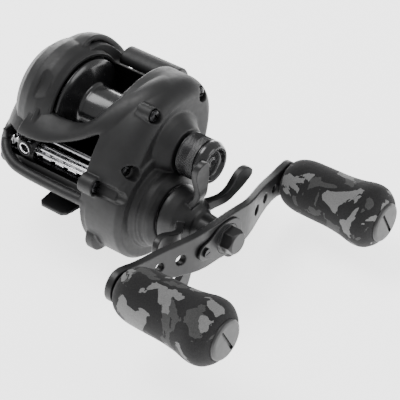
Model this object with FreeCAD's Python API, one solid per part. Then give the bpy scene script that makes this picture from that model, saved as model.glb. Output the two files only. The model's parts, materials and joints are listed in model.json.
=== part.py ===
import FreeCAD, Part
import math
import os

os.makedirs("parts", exist_ok=True)
V = FreeCAD.Vector

# Low-profile baitcasting reel, millimetres. Origin: middle of the reel foot's underside.
# +X points to the handle side, +Y to the thumb bar (angler) and +Z away from the rod.

# --- axes -------------------------------------------------------------------------------
SPOOL_Y, SPOOL_Z = 0.0, 22.0
GEAR_MODULE = 0.4
MAIN_TEETH, PINION_TEETH = 88, 13
GUIDE_DRIVE_TEETH, WORM_TEETH = 52, 17
DRIVE_DISTANCE = GEAR_MODULE * (MAIN_TEETH + PINION_TEETH) / 2
DRIVE_DIRECTION = math.radians(239.0)          # from the spool axis, measured from +Y towards +Z
DRIVE_Y = SPOOL_Y + DRIVE_DISTANCE * math.cos(DRIVE_DIRECTION)
DRIVE_Z = SPOOL_Z + DRIVE_DISTANCE * math.sin(DRIVE_DIRECTION)
WORM_DISTANCE = GEAR_MODULE * (GUIDE_DRIVE_TEETH + WORM_TEETH) / 2
WORM_DIRECTION = math.radians(139.5)           # from the drive axis
WORM_Y = DRIVE_Y + WORM_DISTANCE * math.cos(WORM_DIRECTION)
WORM_Z = DRIVE_Z + WORM_DISTANCE * math.sin(WORM_DIRECTION)

# --- fits -------------------------------------------------------------------------------
RUN = 0.03                                     # radial clearance of a running fit
GAP = 0.3                                      # gap between parts that only pass each other

# --- frame and shells -------------------------------------------------------------------
PALM_WALL_IN, PALM_WALL_OUT = -12.0, -14.5
GEAR_WALL_IN, GEAR_WALL_OUT = 11.5, 14.0
RING_R = 18.0                                  # spool opening in the palm wall
PALM_END = -32.0
WORM_END = -27.0                               # palm end of the worm's bore
PLATE_IN, PLATE_OUT = 14.0, 27.6               # gear side plate
LOBE_R = 20.2                                  # gear side lobe round the drive axis
SHELL_T = 1.5

# --- spool ------------------------------------------------------------------------------
FLANGE_R = 16.8
SPOOL_HALF = 10.8
ARBOR_R = 9.0
SHAFT_R = 1.4

# --- handle -----------------------------------------------------------------------------
HANDLE_LENGTH = 88.5                           # spindle to spindle
HANDLE_TILT = math.radians(-7.2)               # rear end a little lower
ARM_HUB_X, ARM_TAB_X = 54.0, 47.6
ARM_T = 2.6
NUT_END_X = 62.0
STAR_R = 26.5
KNOB_CAP_R = 6.9

# --- spool tension knob -----------------------------------------------------------------
TENSION_BASE_X, TENSION_FACE_X = 33.2, 44.6
TENSION_R = 7.6
BOSS_R = 5.6

# --- foot -------------------------------------------------------------------------------
FOOT_HALF = 31.5
FOOT_TIP_W, FOOT_W = 11.6, 14.4
FOOT_T = 2.4

# Side outline of the palm half, (y, z), counter-clockwise seen from +X.
PALM_OUTLINE = [(-25.6, 11.5), (-25.2, 17.0), (-22.0, 22.6), (-15.0, 29.6), (-6.5, 36.6), (2.0, 41.4),
                (9.5, 43.2), (17.0, 39.6), (22.6, 33.6), (26.6, 27.0), (27.4, 19.5), (25.0, 11.0),
                (18.6, 3.6), (9.0, -0.6), (-3.0, -2.4), (-14.0, -2.2), (-22.0, 1.2), (-25.0, 6.0)]
# Side outline of the gear half above the drive lobe; the lobe itself is an arc.
GEAR_TOP_OUTLINE = [(-29.2, 12.6), (-26.6, 18.8), (-21.0, 27.4), (-14.0, 34.6), (-5.5, 39.8), (4.0, 41.4),
                    (12.5, 40.2), (19.0, 36.4), (22.2, 31.0), (22.4, 22.0), (19.4, 12.0), (14.0, 3.0)]
GEAR_LOBE_DEGREES = [-30, -60, -90, -120, -150, 180]
GEAR_CENTRE = (1.0, 20.5)                      # the gear plate's outline shrinks towards this point
PALM_CENTRE = (-9.0, 15.0)
DOME_STEPS = 11
DOME_POWER = 2.35                              # fullness of the palm dome
DOME_END_SCALE = 0.36
# Lower front lip and apron of the frame, (y, z).
LIP_OUTLINE = [(-23.8, 11.6), (-25.3, 11.8), (-26.4, 10.2), (-26.0, 7.4), (-23.4, 5.0), (-17.5, 3.5),
               (-12.5, 2.6), (-12.5, 4.2), (-17.5, 5.2), (-22.4, 6.6), (-24.0, 8.4), (-24.2, 10.0)]
# Level-wind opening in the palm half: palm end, rear wall, floor and top.
OPENING_X, OPENING_Y, OPENING_Z0, OPENING_Z1 = -26.2, -16.4, 6.4, 19.4
HOOD_REAR = -10.8


# --- helpers ----------------------------------------------------------------------------
def cyl(x0, x1, radius, y, z):
    """Cylinder along X."""
    return Part.makeCylinder(radius, x1 - x0, V(x0, y, z), V(1, 0, 0))


def tube(x0, x1, outer, inner, y, z):
    return cyl(x0, x1, outer, y, z).cut(cyl(x0 - 1, x1 + 1, inner, y, z))


def box(x0, x1, y0, y1, z0, z1):
    return Part.makeBox(x1 - x0, y1 - y0, z1 - z0, V(x0, y0, z0))


def spun(points, y, z):
    """Solid of revolution about an X axis from (x, r) points."""
    loop = [V(x, y, z + r) for x, r in points]
    face = Part.Face(Part.makePolygon(loop + [loop[0]]))
    return face.revolve(V(0, y, z), V(1, 0, 0), 360)


def smooth_spun(x_end, points, bore, y, z):
    """Revolved grip: a spline outline through (x, r) points above a straight bore."""
    curve = Part.BSplineCurve()
    curve.interpolate([V(x, y, z + r) for x, r in points])
    start, end = points[0], points[-1]
    low = [V(end[0], y, z + end[1]), V(x_end, y, z + bore), V(start[0], y, z + bore),
           V(start[0], y, z + start[1])]
    edges = [curve.toShape()]
    edges += [Part.makeLine(a, b) for a, b in zip(low, low[1:])]
    return Part.Face(Part.Wire(edges)).revolve(V(0, y, z), V(1, 0, 0), 360)


def closed_spline(x, points):
    curve = Part.BSplineCurve()
    curve.interpolate([V(x, y, z) for y, z in points], PeriodicFlag=True)
    return Part.Wire([curve.toShape()])


def scaled(points, factor, centre=GEAR_CENTRE):
    cy, cz = centre
    return [(cy + (y - cy) * factor, cz + (z - cz) * factor) for y, z in points]


def gear_outline():
    """Side outline of the gear half; its lobe stays just inside the round drive housing."""
    radius = LOBE_R - GAP
    lobe = [(DRIVE_Y + radius * math.cos(math.radians(a)), DRIVE_Z + radius * math.sin(math.radians(a)))
            for a in GEAR_LOBE_DEGREES]
    return GEAR_TOP_OUTLINE + lobe


def around(y, z, radius, count):
    """Evenly spaced points on a circle in the YZ plane."""
    angles = [2 * math.pi * k / count for k in range(count)]
    return [(y + radius * math.cos(a), z + radius * math.sin(a)) for a in angles]


def prism(x0, x1, points):
    return Part.Face(closed_spline(x0, points)).extrude(V(x1 - x0, 0, 0))


def polygon_prism(x0, x1, points):
    loop = [V(x0, y, z) for y, z in points]
    return Part.Face(Part.makePolygon(loop + [loop[0]])).extrude(V(x1 - x0, 0, 0))


def loft(sections, ruled=False):
    """Solid through (x, outline) sections."""
    return Part.makeLoft([closed_spline(x, points) for x, points in sections], True, ruled)


def fuse(shapes):
    return shapes[0].multiFuse(shapes[1:]).removeSplitter()


def cut(shape, tools):
    for tool in tools:
        shape = shape.cut(tool)
    return shape


def involute_point(base_r, radius, start):
    spread = math.sqrt(max((radius / base_r) ** 2 - 1, 0.0))
    angle = start + spread - math.atan(spread)
    return radius * math.cos(angle), radius * math.sin(angle)


def gear(teeth, x0, x1, y, z, bore, turn=0.0, backlash=0.10):
    """Involute spur gear along X with its first tooth at the angle turn."""
    pitch_r = GEAR_MODULE * teeth / 2
    base_r = pitch_r * math.cos(math.radians(20))
    tip_r = pitch_r + 0.85 * GEAR_MODULE
    root_r = pitch_r - 1.15 * GEAR_MODULE
    spread = math.sqrt((pitch_r / base_r) ** 2 - 1)
    half = (math.pi * GEAR_MODULE / 2 - backlash) / 2 / pitch_r + spread - math.atan(spread)
    low_r = max(base_r, root_r)
    radii = [low_r + (tip_r - low_r) * k / 3 for k in range(4)]
    flank = [involute_point(base_r, radius, -half) for radius in radii]
    if root_r < base_r:
        flank.insert(0, (root_r * math.cos(half), -root_r * math.sin(half)))
    tooth = flank + [(a, -b) for a, b in reversed(flank)]
    points = []
    for k in range(teeth):
        angle = turn + 2 * math.pi * k / teeth
        c, s = math.cos(angle), math.sin(angle)
        points += [(y + a * c - b * s, z + a * s + b * c) for a, b in tooth]
    return polygon_prism(x0, x1, points).cut(cyl(x0 - 1, x1 + 1, bore, y, z))


def ball_bearing(x0, x1, outer, inner, y, z):
    """Inner ring, outer ring and balls as separate solids."""
    mid = (outer + inner) / 2
    ball = (outer - inner) * 0.24
    middle = (x0 + x1) / 2
    groove = Part.makeTorus(mid, ball + 0.04, V(middle, y, z), V(1, 0, 0))
    rings = [tube(x0, x1, outer, mid + ball * 0.45, y, z).cut(groove),
             tube(x0, x1, mid - ball * 0.45, inner, y, z).cut(groove)]
    balls = [Part.makeSphere(ball, V(middle, y + mid * math.cos(a), z + mid * math.sin(a)))
             for a in [2 * math.pi * k / 7 for k in range(7)]]
    return Part.makeCompound(rings + balls)


def screw(x_head, length, y, z, head_r=2.1, head_h=1.4, shank_r=1.0):
    """Cross-recess pan head screw pointing towards -X; x_head is the outer face of the head."""
    body = fuse([cyl(x_head - head_h, x_head, head_r, y, z),
                 cyl(x_head - head_h - length, x_head - 0.5, shank_r, y, z)])
    recess = box(x_head - 0.8, x_head + 1, y - 1.3, y + 1.3, z - 0.3, z + 0.3)
    recess = recess.fuse(box(x_head - 0.8, x_head + 1, y - 0.3, y + 0.3, z - 1.3, z + 1.3))
    return body.cut(recess)


def export(name, shape):
    shape.exportStep("parts/" + name + ".step")


# --- body shapes shared by frame, hood and palm side plate -------------------------------
def palm_body(inset):
    """Domed palm half; inset moves its whole skin inwards."""
    stations = [(-11.9, 1.0)]
    for step in range(DOME_STEPS + 1):
        share = math.sin(math.pi / 2 * step / DOME_STEPS)
        stations.append((PALM_WALL_OUT + (PALM_END - PALM_WALL_OUT) * share,
                         math.sqrt(1 - (1 - DOME_END_SCALE ** 2) * share ** DOME_POWER)))
    sections = [(x + inset * min(1.0, (1.0 - f) * 2.2), scaled(PALM_OUTLINE, f - inset / 24.0, PALM_CENTRE))
                for x, f in stations]
    return loft(sections, True)


def palm_shell():
    return palm_body(0.0).cut(palm_body(SHELL_T))


def front_room():
    """Space of the level wind inside the palm half."""
    return box(OPENING_X, 0, -40, OPENING_Y, OPENING_Z0, OPENING_Z1)


# --- frame ------------------------------------------------------------------------------
SCREW_BOSS_R = 3.4
PLATE_SCREWS = [(22.4, -7.6, 37.6), (19.8, -20.4, 22.6), (16.9, -27.6, 16.8), (25.0, 16.0, 33.6)]  # x, y, z
CORNER_SCREW = PLATE_SCREWS[2]                 # stands on its own boss at the front corner
WORM_R = 2.5


def palm_wall():
    wall = prism(PALM_WALL_OUT, PALM_WALL_IN, scaled(PALM_OUTLINE, 0.93, PALM_CENTRE))
    wall = wall.cut(cyl(PALM_WALL_OUT - 1, PALM_WALL_IN + 1, RING_R, SPOOL_Y, SPOOL_Z))
    return cut(wall, [box(-15, -11, -40, OPENING_Y, OPENING_Z0, 60), box(-15, -11, -40, HOOD_REAR, 18.0, 60)])


def palm_cheek():
    """Front lower part of the palm half: outer wall of the level-wind room and its floor."""
    return palm_shell().common(box(-40, PALM_WALL_IN, -40, OPENING_Y + 1.5, -10, 19.0)).cut(front_room())


def frame():
    gear_wall = prism(GEAR_WALL_IN, GEAR_WALL_OUT - 0.02, gear_outline())
    gear_wall = gear_wall.fuse(cyl(GEAR_WALL_IN, GEAR_WALL_OUT - 0.02, SCREW_BOSS_R, *CORNER_SCREW[1:]))
    gear_wall = gear_wall.cut(cyl(GEAR_WALL_IN - 1, GEAR_WALL_IN + 1.0, RING_R, SPOOL_Y, SPOOL_Z))
    rails = tube(PALM_WALL_IN - 0.5, GEAR_WALL_IN + 0.5, RING_R + 2.4, RING_R, SPOOL_Y, SPOOL_Z)
    cradle = rails.common(box(-20, 20, -19.0, 21.5, 0, 8))
    lip = prism(OPENING_X - 0.5, GEAR_WALL_IN + 0.5, LIP_OUTLINE)
    lip = lip.cut(cyl(OPENING_X + 0.6, GEAR_WALL_IN, SLEEVE_R + GAP, WORM_Y, WORM_Z))
    foot_block = box(-6.5, 6.5, -17.0, 17.0, FOOT_T - 0.5, SPOOL_Z - RING_R - 0.1)
    rear_bridge = box(PALM_WALL_IN - 0.5, GEAR_WALL_IN + 0.5, 18.2, 21.4, 7.0, 17.0)
    room_back = box(OPENING_X - 0.6, PALM_WALL_OUT + 0.5, OPENING_Y, OPENING_Y + 1.4, 2.0, 18.0)
    worm_post = box(OPENING_X - 1.0, OPENING_X + 0.6, WORM_Y - 3.2, OPENING_Y + 1.0, WORM_Z - 8.5,
                    WORM_Z + 5.3)
    palm_bores = [cyl(WORM_END, OPENING_X + 1, 2.4, WORM_Y, WORM_Z),
                  cyl(OPENING_X - 0.6, -20, GUIDE_ROD_R, GUIDE_ROD_Y, GUIDE_ROD_Z)]
    body = fuse([palm_wall(), gear_wall, cradle, lip, foot_block, rear_bridge,
                 cut(palm_cheek(), palm_bores),
                 room_back, cut(worm_post, palm_bores)])
    body = body.cut(box(-7.4, 7.4, -40, 40, -10, FOOT_T + 0.01))
    holes = [cyl(GEAR_WALL_IN - 1, GEAR_WALL_OUT + 1, 4.0, SPOOL_Y, SPOOL_Z),
             cyl(GEAR_WALL_IN - 1, GEAR_WALL_OUT + 1, 3.2, DRIVE_Y, DRIVE_Z),
             cyl(GEAR_WALL_IN - 1, GEAR_WALL_OUT + 1, 3.0, WORM_Y, WORM_Z),
             cyl(GEAR_WALL_IN - 1, GEAR_WALL_OUT + 1, GUIDE_ROD_R, GUIDE_ROD_Y, GUIDE_ROD_Z),
             box(GEAR_WALL_IN - 1, GEAR_WALL_OUT + 1, LUG_Y0 - GAP, LUG_Y1 + GAP, LUG_Z0 - BAR_TRAVEL - GAP,
                 LUG_Z1 + GAP)]
    holes += [cyl(GEAR_WALL_IN - 1, GEAR_WALL_OUT + 1, 1.0, y, z) for x, y, z in PLATE_SCREWS]
    holes += [Part.makeCylinder(1.1, 6, V(0, y, 0), V(0, 0, 1)) for y in FOOT_SCREW_Y]
    holes += [cyl(PALM_WALL_OUT - 1, PALM_WALL_IN + 1, 1.0, y, z) for y, z in WALL_SCREWS]
    return cut(body, holes)


# --- hood -------------------------------------------------------------------------------
WALL_SCREWS = [(19.6, 14.0)]
GUIDE_ROD_Y, GUIDE_ROD_Z, GUIDE_ROD_R = -18.2, 17.8, 0.9
FOOT_SCREW_Y = (-13.0, 13.0)


def hood_section(x, front_y, front_z, rear_y, rear_z, bulge):
    """Closed band in the YZ plane: a bowed top skin and a parallel lower skin."""
    mid_y = (front_y + rear_y) / 2 - bulge * 0.6
    mid_z = (front_z + rear_z) / 2 + bulge
    top = Part.Arc(V(x, front_y, front_z), V(x, mid_y, mid_z), V(x, rear_y, rear_z)).toShape()
    low_a = V(x, front_y + 0.7, front_z - 1.7)
    low_b = V(x, rear_y + 0.3, rear_z - 1.9)
    low = Part.Arc(low_b, V(x, mid_y + 0.9, mid_z - 1.7), low_a).toShape()
    rear = Part.makeLine(V(x, rear_y, rear_z), low_b)
    front = Part.makeLine(low_a, V(x, front_y, front_z))
    return Part.Wire([top, rear, low, front])


def front_hood():
    sections = [hood_section(-15.5, -24.6, 20.4, HOOD_REAR - 1, 33.6, 2.4),
                hood_section(-8.0, -24.6, 21.4, -12.6, 29.6, 2.0),
                hood_section(2.0, -24.4, 21.6, -12.8, 28.8, 1.8),
                hood_section(GEAR_WALL_IN - 0.02, -23.0, 23.2, -11.4, 31.6, 1.8)]
    middle = Part.makeLoft(sections, True, False)
    palm_part = palm_shell().common(box(-40, PALM_WALL_OUT + 0.4, -40, HOOD_REAR, 19.02, 60))
    palm_part = palm_part.cut(front_room())
    keep_out = cyl(-18.0, 14, RING_R + 0.4, SPOOL_Y, SPOOL_Z)
    return fuse([palm_part, middle]).cut(keep_out)


# --- palm side plate --------------------------------------------------------------------
def palm_side_plate():
    """Palm shell with a web across the spool opening, a bearing cup and a seat for the brake dial."""
    shell = cut(palm_shell(), [box(PALM_WALL_OUT - 0.02, 0, -60, 60, -60, 60),
                               box(-40, 0, -40, OPENING_Y + 1.52, -10, 19.03),
                               box(-40, 0, -40, HOOD_REAR + 0.02, 19.0, 60),
                               cyl(-17.5, -10, RING_R + 1.6, SPOOL_Y, SPOOL_Z)])
    web = cyl(-19.6, -18.0, RING_R + 1.7, SPOOL_Y, SPOOL_Z).common(palm_body(1.0))
    web = web.common(box(-20, 0, HOOD_REAR + 0.02, 40, -20, 60))
    bearing_cup = cyl(-22.4, -18.6, 5.6, SPOOL_Y, SPOOL_Z)
    dial_seat = cyl(-33, -28.4, BRAKE_DIAL_R + 1.4, SPOOL_Y, SPOOL_Z).common(palm_body(0.5))
    bearing_bores = [cyl(-24, -17, SHAFT_R + 0.4, SPOOL_Y, SPOOL_Z),
                     cyl(-20.95, -17, 4.0, SPOOL_Y, SPOOL_Z)]
    dial_bores = [cyl(-40, -27.0, 2.0 + RUN, SPOOL_Y, SPOOL_Z),
                  cyl(-34, -30.1, BRAKE_DIAL_R + GAP, SPOOL_Y, SPOOL_Z)]
    screw_bores = [cyl(-19, 0, 1.0, *WALL_SCREWS[0]), cyl(-40, -17.6, 2.3, *WALL_SCREWS[0])]
    return fuse([cut(shell, dial_bores + screw_bores), cut(web, bearing_bores + screw_bores),
                 cut(bearing_cup, bearing_bores), cut(dial_seat, dial_bores)])


BRAKE_DIAL_R = 8.0
MAGNET_CIRCLE_R = 8.2


def brake_dial():
    """Knurled dial let into the palm side plate, with a stem that turns in it."""
    dial = cyl(PALM_END, -30.4, BRAKE_DIAL_R, SPOOL_Y, SPOOL_Z)
    notches = [cyl(PALM_END - 1, PALM_END + 2, 0.7, y, z)
               for y, z in around(SPOOL_Y, SPOOL_Z, BRAKE_DIAL_R, 24)]
    pointer = box(PALM_END - 1, PALM_END + 0.4, SPOOL_Y - 0.4, SPOOL_Y + 0.4, SPOOL_Z + 3, SPOOL_Z + 6.5)
    stem = cyl(PALM_END + 0.5, -26.6, 2.0, SPOOL_Y, SPOOL_Z)
    return fuse([cut(dial, notches + [pointer]), stem])


def magnet_holder():
    """Carrier disc round the bearing cup that moves along X with the dial."""
    back = tube(-25.8, -24.9, 10.4, 2.4, SPOOL_Y, SPOOL_Z)
    ring = tube(-25.0, -23.4, 10.4, 5.9, SPOOL_Y, SPOOL_Z)
    pockets = [cyl(-24.2, -20, 2.0, y, z) for y, z in around(SPOOL_Y, SPOOL_Z, MAGNET_CIRCLE_R, 8)]
    return cut(back.fuse(ring), pockets)


def brake_magnets():
    places = around(SPOOL_Y, SPOOL_Z, MAGNET_CIRCLE_R, 8)
    return Part.makeCompound([cyl(-24.2, -22.8, 1.98, y, z) for y, z in places])


# --- gear side plate --------------------------------------------------------------------
def gear_side_plate():
    outline = gear_outline()
    skirt = loft([(PLATE_IN, outline), (19.0, outline), (23.0, scaled(outline, 0.975)),
                  (26.0, scaled(outline, 0.90)), (PLATE_OUT, scaled(outline, 0.78))])
    housing = spun([(PLATE_IN, 0), (PLATE_IN, LOBE_R), (26.6, LOBE_R), (28.4, LOBE_R - 1.4), (28.4, 15.2),
                    (30.4, 14.4), (30.4, 10.6), (34.8, 10.0), (34.8, 0)], DRIVE_Y, DRIVE_Z)
    collar = spun([(20, 0), (20, 12.6), (27.6, 12.2), (29.6, 10.4), (TENSION_BASE_X - 0.5, 8.2),
                   (TENSION_BASE_X - 0.5, 0)], SPOOL_Y, SPOOL_Z)
    boss = cyl(20, 38.0, BOSS_R, SPOOL_Y, SPOOL_Z)
    lobe_boss = cyl(PLATE_IN, PLATE_IN + 3.2, 5.6, -25.4, -4.4)
    corner_boss = cyl(PLATE_IN, CORNER_SCREW[0] + 0.4, SCREW_BOSS_R, *CORNER_SCREW[1:])
    body = fuse([skirt, housing, collar, boss, lobe_boss, corner_boss])
    cavity = [cyl(PLATE_IN - 1, 24.4, LOBE_R - SHELL_T, DRIVE_Y, DRIVE_Z),
              cyl(PLATE_IN - 1, 24.4, 14.4, SPOOL_Y, SPOOL_Z), cyl(PLATE_IN - 1, 17.0, 4.2, WORM_Y, WORM_Z),
              box(PLATE_IN - 1, CLUTCH_X1 + GAP, CLUTCH_Y0 - GAP, LUG_Y1 + GAP,
                  CLUTCH_Z0 - BAR_TRAVEL - GAP,
                  CLUTCH_Z1 + GAP)]
    bores = [cyl(20, 27.0, 4.0, SPOOL_Y, SPOOL_Z), cyl(20, 32.0, SHAFT_R + 0.5, SPOOL_Y, SPOOL_Z),
             cyl(31.0, 40, 3.6, SPOOL_Y, SPOOL_Z), cyl(20, 40, 6.8, DRIVE_Y, DRIVE_Z)]
    seats = []
    for x, y, z in PLATE_SCREWS:
        seats += [cyl(PLATE_IN - 1, 40, 1.1, y, z), cyl(x - 1.4, 40, 2.4, y, z)]
    return cut(body, cavity + bores + seats)


def tension_knob():
    """Knurled cap: fluted grip band, plain chamfered front."""
    y, z = SPOOL_Y, SPOOL_Z
    body = spun([(TENSION_BASE_X, 0), (TENSION_BASE_X, 6.9), (TENSION_BASE_X + 0.8, TENSION_R),
                 (TENSION_FACE_X - 2.2, TENSION_R), (TENSION_FACE_X - 0.5, TENSION_R - 0.6),
                 (TENSION_FACE_X, TENSION_R - 1.2), (TENSION_FACE_X, 0)], y, z)
    bore = cyl(TENSION_BASE_X - 1, 38.4, BOSS_R + RUN, y, z)
    dish = spun([(TENSION_FACE_X - 0.7, 0), (TENSION_FACE_X - 0.7, 5.2), (TENSION_FACE_X + 0.1, 5.8),
                 (TENSION_FACE_X + 0.1, 0)], y, z)
    flutes = [cyl(TENSION_BASE_X + 1.2, TENSION_FACE_X - 3.4, 0.32, v, w)
              for v, w in around(y, z, TENSION_R, 40)]
    return cut(body, [bore, dish] + flutes)


# --- spool line -------------------------------------------------------------------------
SPOOL_PIN_X = 15.4


def spool():
    return spun([(-SPOOL_HALF, SHAFT_R), (-SPOOL_HALF, 5.0), (-7.6, 6.0), (-7.6, 8.0), (-9.6, 14.8),
                 (-SPOOL_HALF, FLANGE_R - 0.6), (-SPOOL_HALF, FLANGE_R), (-9.9, FLANGE_R), (-9.0, 15.2),
                 (-7.0, ARBOR_R + 0.6), (-6.2, ARBOR_R), (6.2, ARBOR_R), (7.0, ARBOR_R + 0.6), (9.0, 15.2),
                 (9.9, FLANGE_R), (SPOOL_HALF, FLANGE_R), (SPOOL_HALF, FLANGE_R - 0.6), (9.6, 14.8),
                 (7.6, 8.0),
                 (7.6, 6.0), (SPOOL_HALF, 5.0), (SPOOL_HALF, SHAFT_R)], SPOOL_Y, SPOOL_Z)


def spool_shaft():
    shaft = cyl(-20.6, 30.6, SHAFT_R, SPOOL_Y, SPOOL_Z)
    return shaft.cut(Part.makeCylinder(0.5, 10, V(SPOOL_PIN_X, SPOOL_Y, SPOOL_Z - 5), V(0, 0, 1)))


def spool_pin():
    return Part.makeCylinder(0.5, 5.0, V(SPOOL_PIN_X, SPOOL_Y, SPOOL_Z - 2.5), V(0, 0, 1))


def brake_rotor():
    """Thin disc on the spool's palm side that runs in front of the magnets."""
    disc = tube(-15.6, -14.8, 10.4, SHAFT_R, SPOOL_Y, SPOOL_Z)
    return disc.fuse(tube(-15.6, -SPOOL_HALF, 2.6, SHAFT_R, SPOOL_Y, SPOOL_Z))


# --- clutch and pinion ------------------------------------------------------------------
BAR_TRAVEL = 4.0                               # thumb bar, downwards; it shifts the yoke by 0.8
CLUTCH_X0, CLUTCH_X1 = GEAR_WALL_OUT + 0.08, GEAR_WALL_OUT + 0.9
CLUTCH_Y0, CLUTCH_Z0, CLUTCH_Z1 = 8.0, 18.0, 26.0
LUG_Y0, LUG_Y1, LUG_Z0, LUG_Z1 = 18.8, 20.2, 21.5, 24.0    # lug through the gear wall


def pinion_turn():
    """Turns the pinion so that a tooth space faces the main gear's tooth."""
    line = math.atan2(DRIVE_Z - SPOOL_Z, DRIVE_Y - SPOOL_Y)
    return line + math.pi / PINION_TEETH


def main_turn():
    return math.atan2(SPOOL_Z - DRIVE_Z, SPOOL_Y - DRIVE_Y)


def pinion_gear():
    bore = SHAFT_R + 0.08
    root = GEAR_MODULE * PINION_TEETH / 2 - 1.15 * GEAR_MODULE
    teeth = gear(PINION_TEETH, 18.15, 23.0, SPOOL_Y, SPOOL_Z, bore, pinion_turn(), 0.12)
    neck = tube(17.0, 18.15, root, bore, SPOOL_Y, SPOOL_Z)
    dog = tube(15.25, 17.0, 3.0, bore, SPOOL_Y, SPOOL_Z)
    slot = box(14.0, SPOOL_PIN_X + 0.62, SPOOL_Y - 0.62, SPOOL_Y + 0.62, SPOOL_Z - 4, SPOOL_Z + 4)
    tail = tube(23.0, 24.3, root, bore, SPOOL_Y, SPOOL_Z)
    return fuse([teeth, neck, dog.cut(slot), tail])


def pinion_yoke():
    """Fork in the pinion's groove, carried on two posts."""
    plate = box(17.2, 18.0, -4.4, 8.6, 17.0, 27.0).cut(cyl(17, 19, 2.25, SPOOL_Y, SPOOL_Z))
    plate = plate.cut(box(17, 19, -6, 0, SPOOL_Z - 2.25, SPOOL_Z + 2.25))
    ear_holes = [cyl(16, 20, 0.8 + RUN, y, z) for y, z in YOKE_POSTS]
    return cut(plate, ear_holes)


YOKE_POSTS = [(6.6, 18.6), (6.6, 25.4)]


def yoke_posts():
    return Part.makeCompound([cyl(GEAR_WALL_OUT, 24.4, 0.8, y, z) for y, z in YOKE_POSTS])


def yoke_springs():
    """Each spring as a plain sleeve between the yoke and the side plate."""
    return Part.makeCompound([tube(18.1, 24.3, 1.5, 0.95, y, z) for y, z in YOKE_POSTS])


def thumb_bar():
    """Curved thumb pad between the side walls, with a leg behind it."""
    points = [(18.9, 29.4), (19.4, 31.0), (22.4, 32.6), (25.8, 32.2), (28.0, 29.6), (28.2, 26.8),
              (26.6, 26.4),
              (22.6, 28.2)]
    pad = prism(PALM_WALL_IN + GAP, GEAR_WALL_IN - GAP, points)
    leg = box(-9.0, 9.0, 22.6, 24.0, 20.0, 29.4)
    tab = box(8.6, GEAR_WALL_IN - GAP, LUG_Y0, 24.0, LUG_Z0, LUG_Z1)
    return fuse([pad, leg, tab])


def clutch_plate():
    """Sheet plate outside the gear wall; its lug passes through the wall to the thumb bar's tab."""
    plate = box(CLUTCH_X0, CLUTCH_X1, CLUTCH_Y0, CLUTCH_Y0 + 3.0, CLUTCH_Z0, CLUTCH_Z1)
    arm = box(CLUTCH_X0, CLUTCH_X1, CLUTCH_Y0, LUG_Y1, LUG_Z0, LUG_Z1)
    lug = box(GEAR_WALL_IN - GAP, CLUTCH_X1, LUG_Y0, LUG_Y1, LUG_Z0, LUG_Z1)
    return fuse([plate, arm, lug])


# --- drive line -------------------------------------------------------------------------
DRIVE_SHAFT_R = 3.0


def drive_shaft():
    y, z = DRIVE_Y, DRIVE_Z
    return fuse([cyl(11.0, 17.4, 2.4, y, z), cyl(14.6, 53.4, DRIVE_SHAFT_R, y, z),
                 box(53.0, 59.4, y - 2.4, y + 2.4, z - 1.8, z + 1.8)])


def drive_bearing():
    return tube(GEAR_WALL_IN, GEAR_WALL_OUT, 3.2, 2.4 + RUN, DRIVE_Y, DRIVE_Z)


def guide_drive_gear():
    direction = math.atan2(WORM_Z - DRIVE_Z, WORM_Y - DRIVE_Y)
    return gear(GUIDE_DRIVE_TEETH, 14.7, 16.3, DRIVE_Y, DRIVE_Z, DRIVE_SHAFT_R, direction)


def worm_gear():
    direction = math.atan2(DRIVE_Z - WORM_Z, DRIVE_Y - WORM_Y)
    return gear(WORM_TEETH, 14.5, 16.5, WORM_Y, WORM_Z, 1.2, direction + math.pi / WORM_TEETH)


def ratchet():
    teeth = 12
    points = []
    for k in range(teeth):
        a = 2 * math.pi * k / teeth
        b = a + 2 * math.pi / teeth * 0.94
        points.append((DRIVE_Y + 6.2 * math.cos(a), DRIVE_Z + 6.2 * math.sin(a)))
        points.append((DRIVE_Y + 7.6 * math.cos(b), DRIVE_Z + 7.6 * math.sin(b)))
    return polygon_prism(16.5, 17.3, points).cut(cyl(16, 18, DRIVE_SHAFT_R, DRIVE_Y, DRIVE_Z))


PAWL_PIN_Y, PAWL_PIN_Z = -10.0, -6.8


def anti_reverse_pawl():
    outline = [(-11.4, -8.2), (-8.6, -8.2), (-8.6, -5.4), (-4.0, -4.5), (-3.6, -5.4), (-8.0, -7.2)]
    arm = polygon_prism(16.5, 17.3, outline)
    hub = cyl(16.5, 17.3, 1.7, PAWL_PIN_Y, PAWL_PIN_Z)
    return arm.fuse(hub).cut(cyl(15, 18, 0.7 + RUN, PAWL_PIN_Y, PAWL_PIN_Z))


def pawl_pin():
    return cyl(GEAR_WALL_OUT, 17.6, 0.7, PAWL_PIN_Y, PAWL_PIN_Z)


def main_gear():
    wheel = gear(MAIN_TEETH, 18.9, 21.9, DRIVE_Y, DRIVE_Z, DRIVE_SHAFT_R, main_turn(), 0.12)
    drag_cup = cyl(19.8, 23, 13.0, DRIVE_Y, DRIVE_Z)
    windows = [cyl(18, 20, 2.0, y, z) for y, z in around(DRIVE_Y, DRIVE_Z, 9.0, 6)]
    return cut(wheel, [drag_cup] + windows)


def drag_washers():
    return Part.makeCompound([tube(17.4, 18.8, 6.0, DRIVE_SHAFT_R, DRIVE_Y, DRIVE_Z),
                              tube(19.8, 20.6, 12.7, DRIVE_SHAFT_R, DRIVE_Y, DRIVE_Z)])


def drag_pressure_plate():
    return tube(20.6, 21.6, 12.6, DRIVE_SHAFT_R, DRIVE_Y, DRIVE_Z)


def bearing_sleeve():
    """Inner sleeve that the roller bearing runs on and that presses the drag stack."""
    return fuse([tube(21.6, 22.2, 5.6, DRIVE_SHAFT_R, DRIVE_Y, DRIVE_Z),
                 tube(22.0, 36.2, 4.2, DRIVE_SHAFT_R, DRIVE_Y, DRIVE_Z)])


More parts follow.
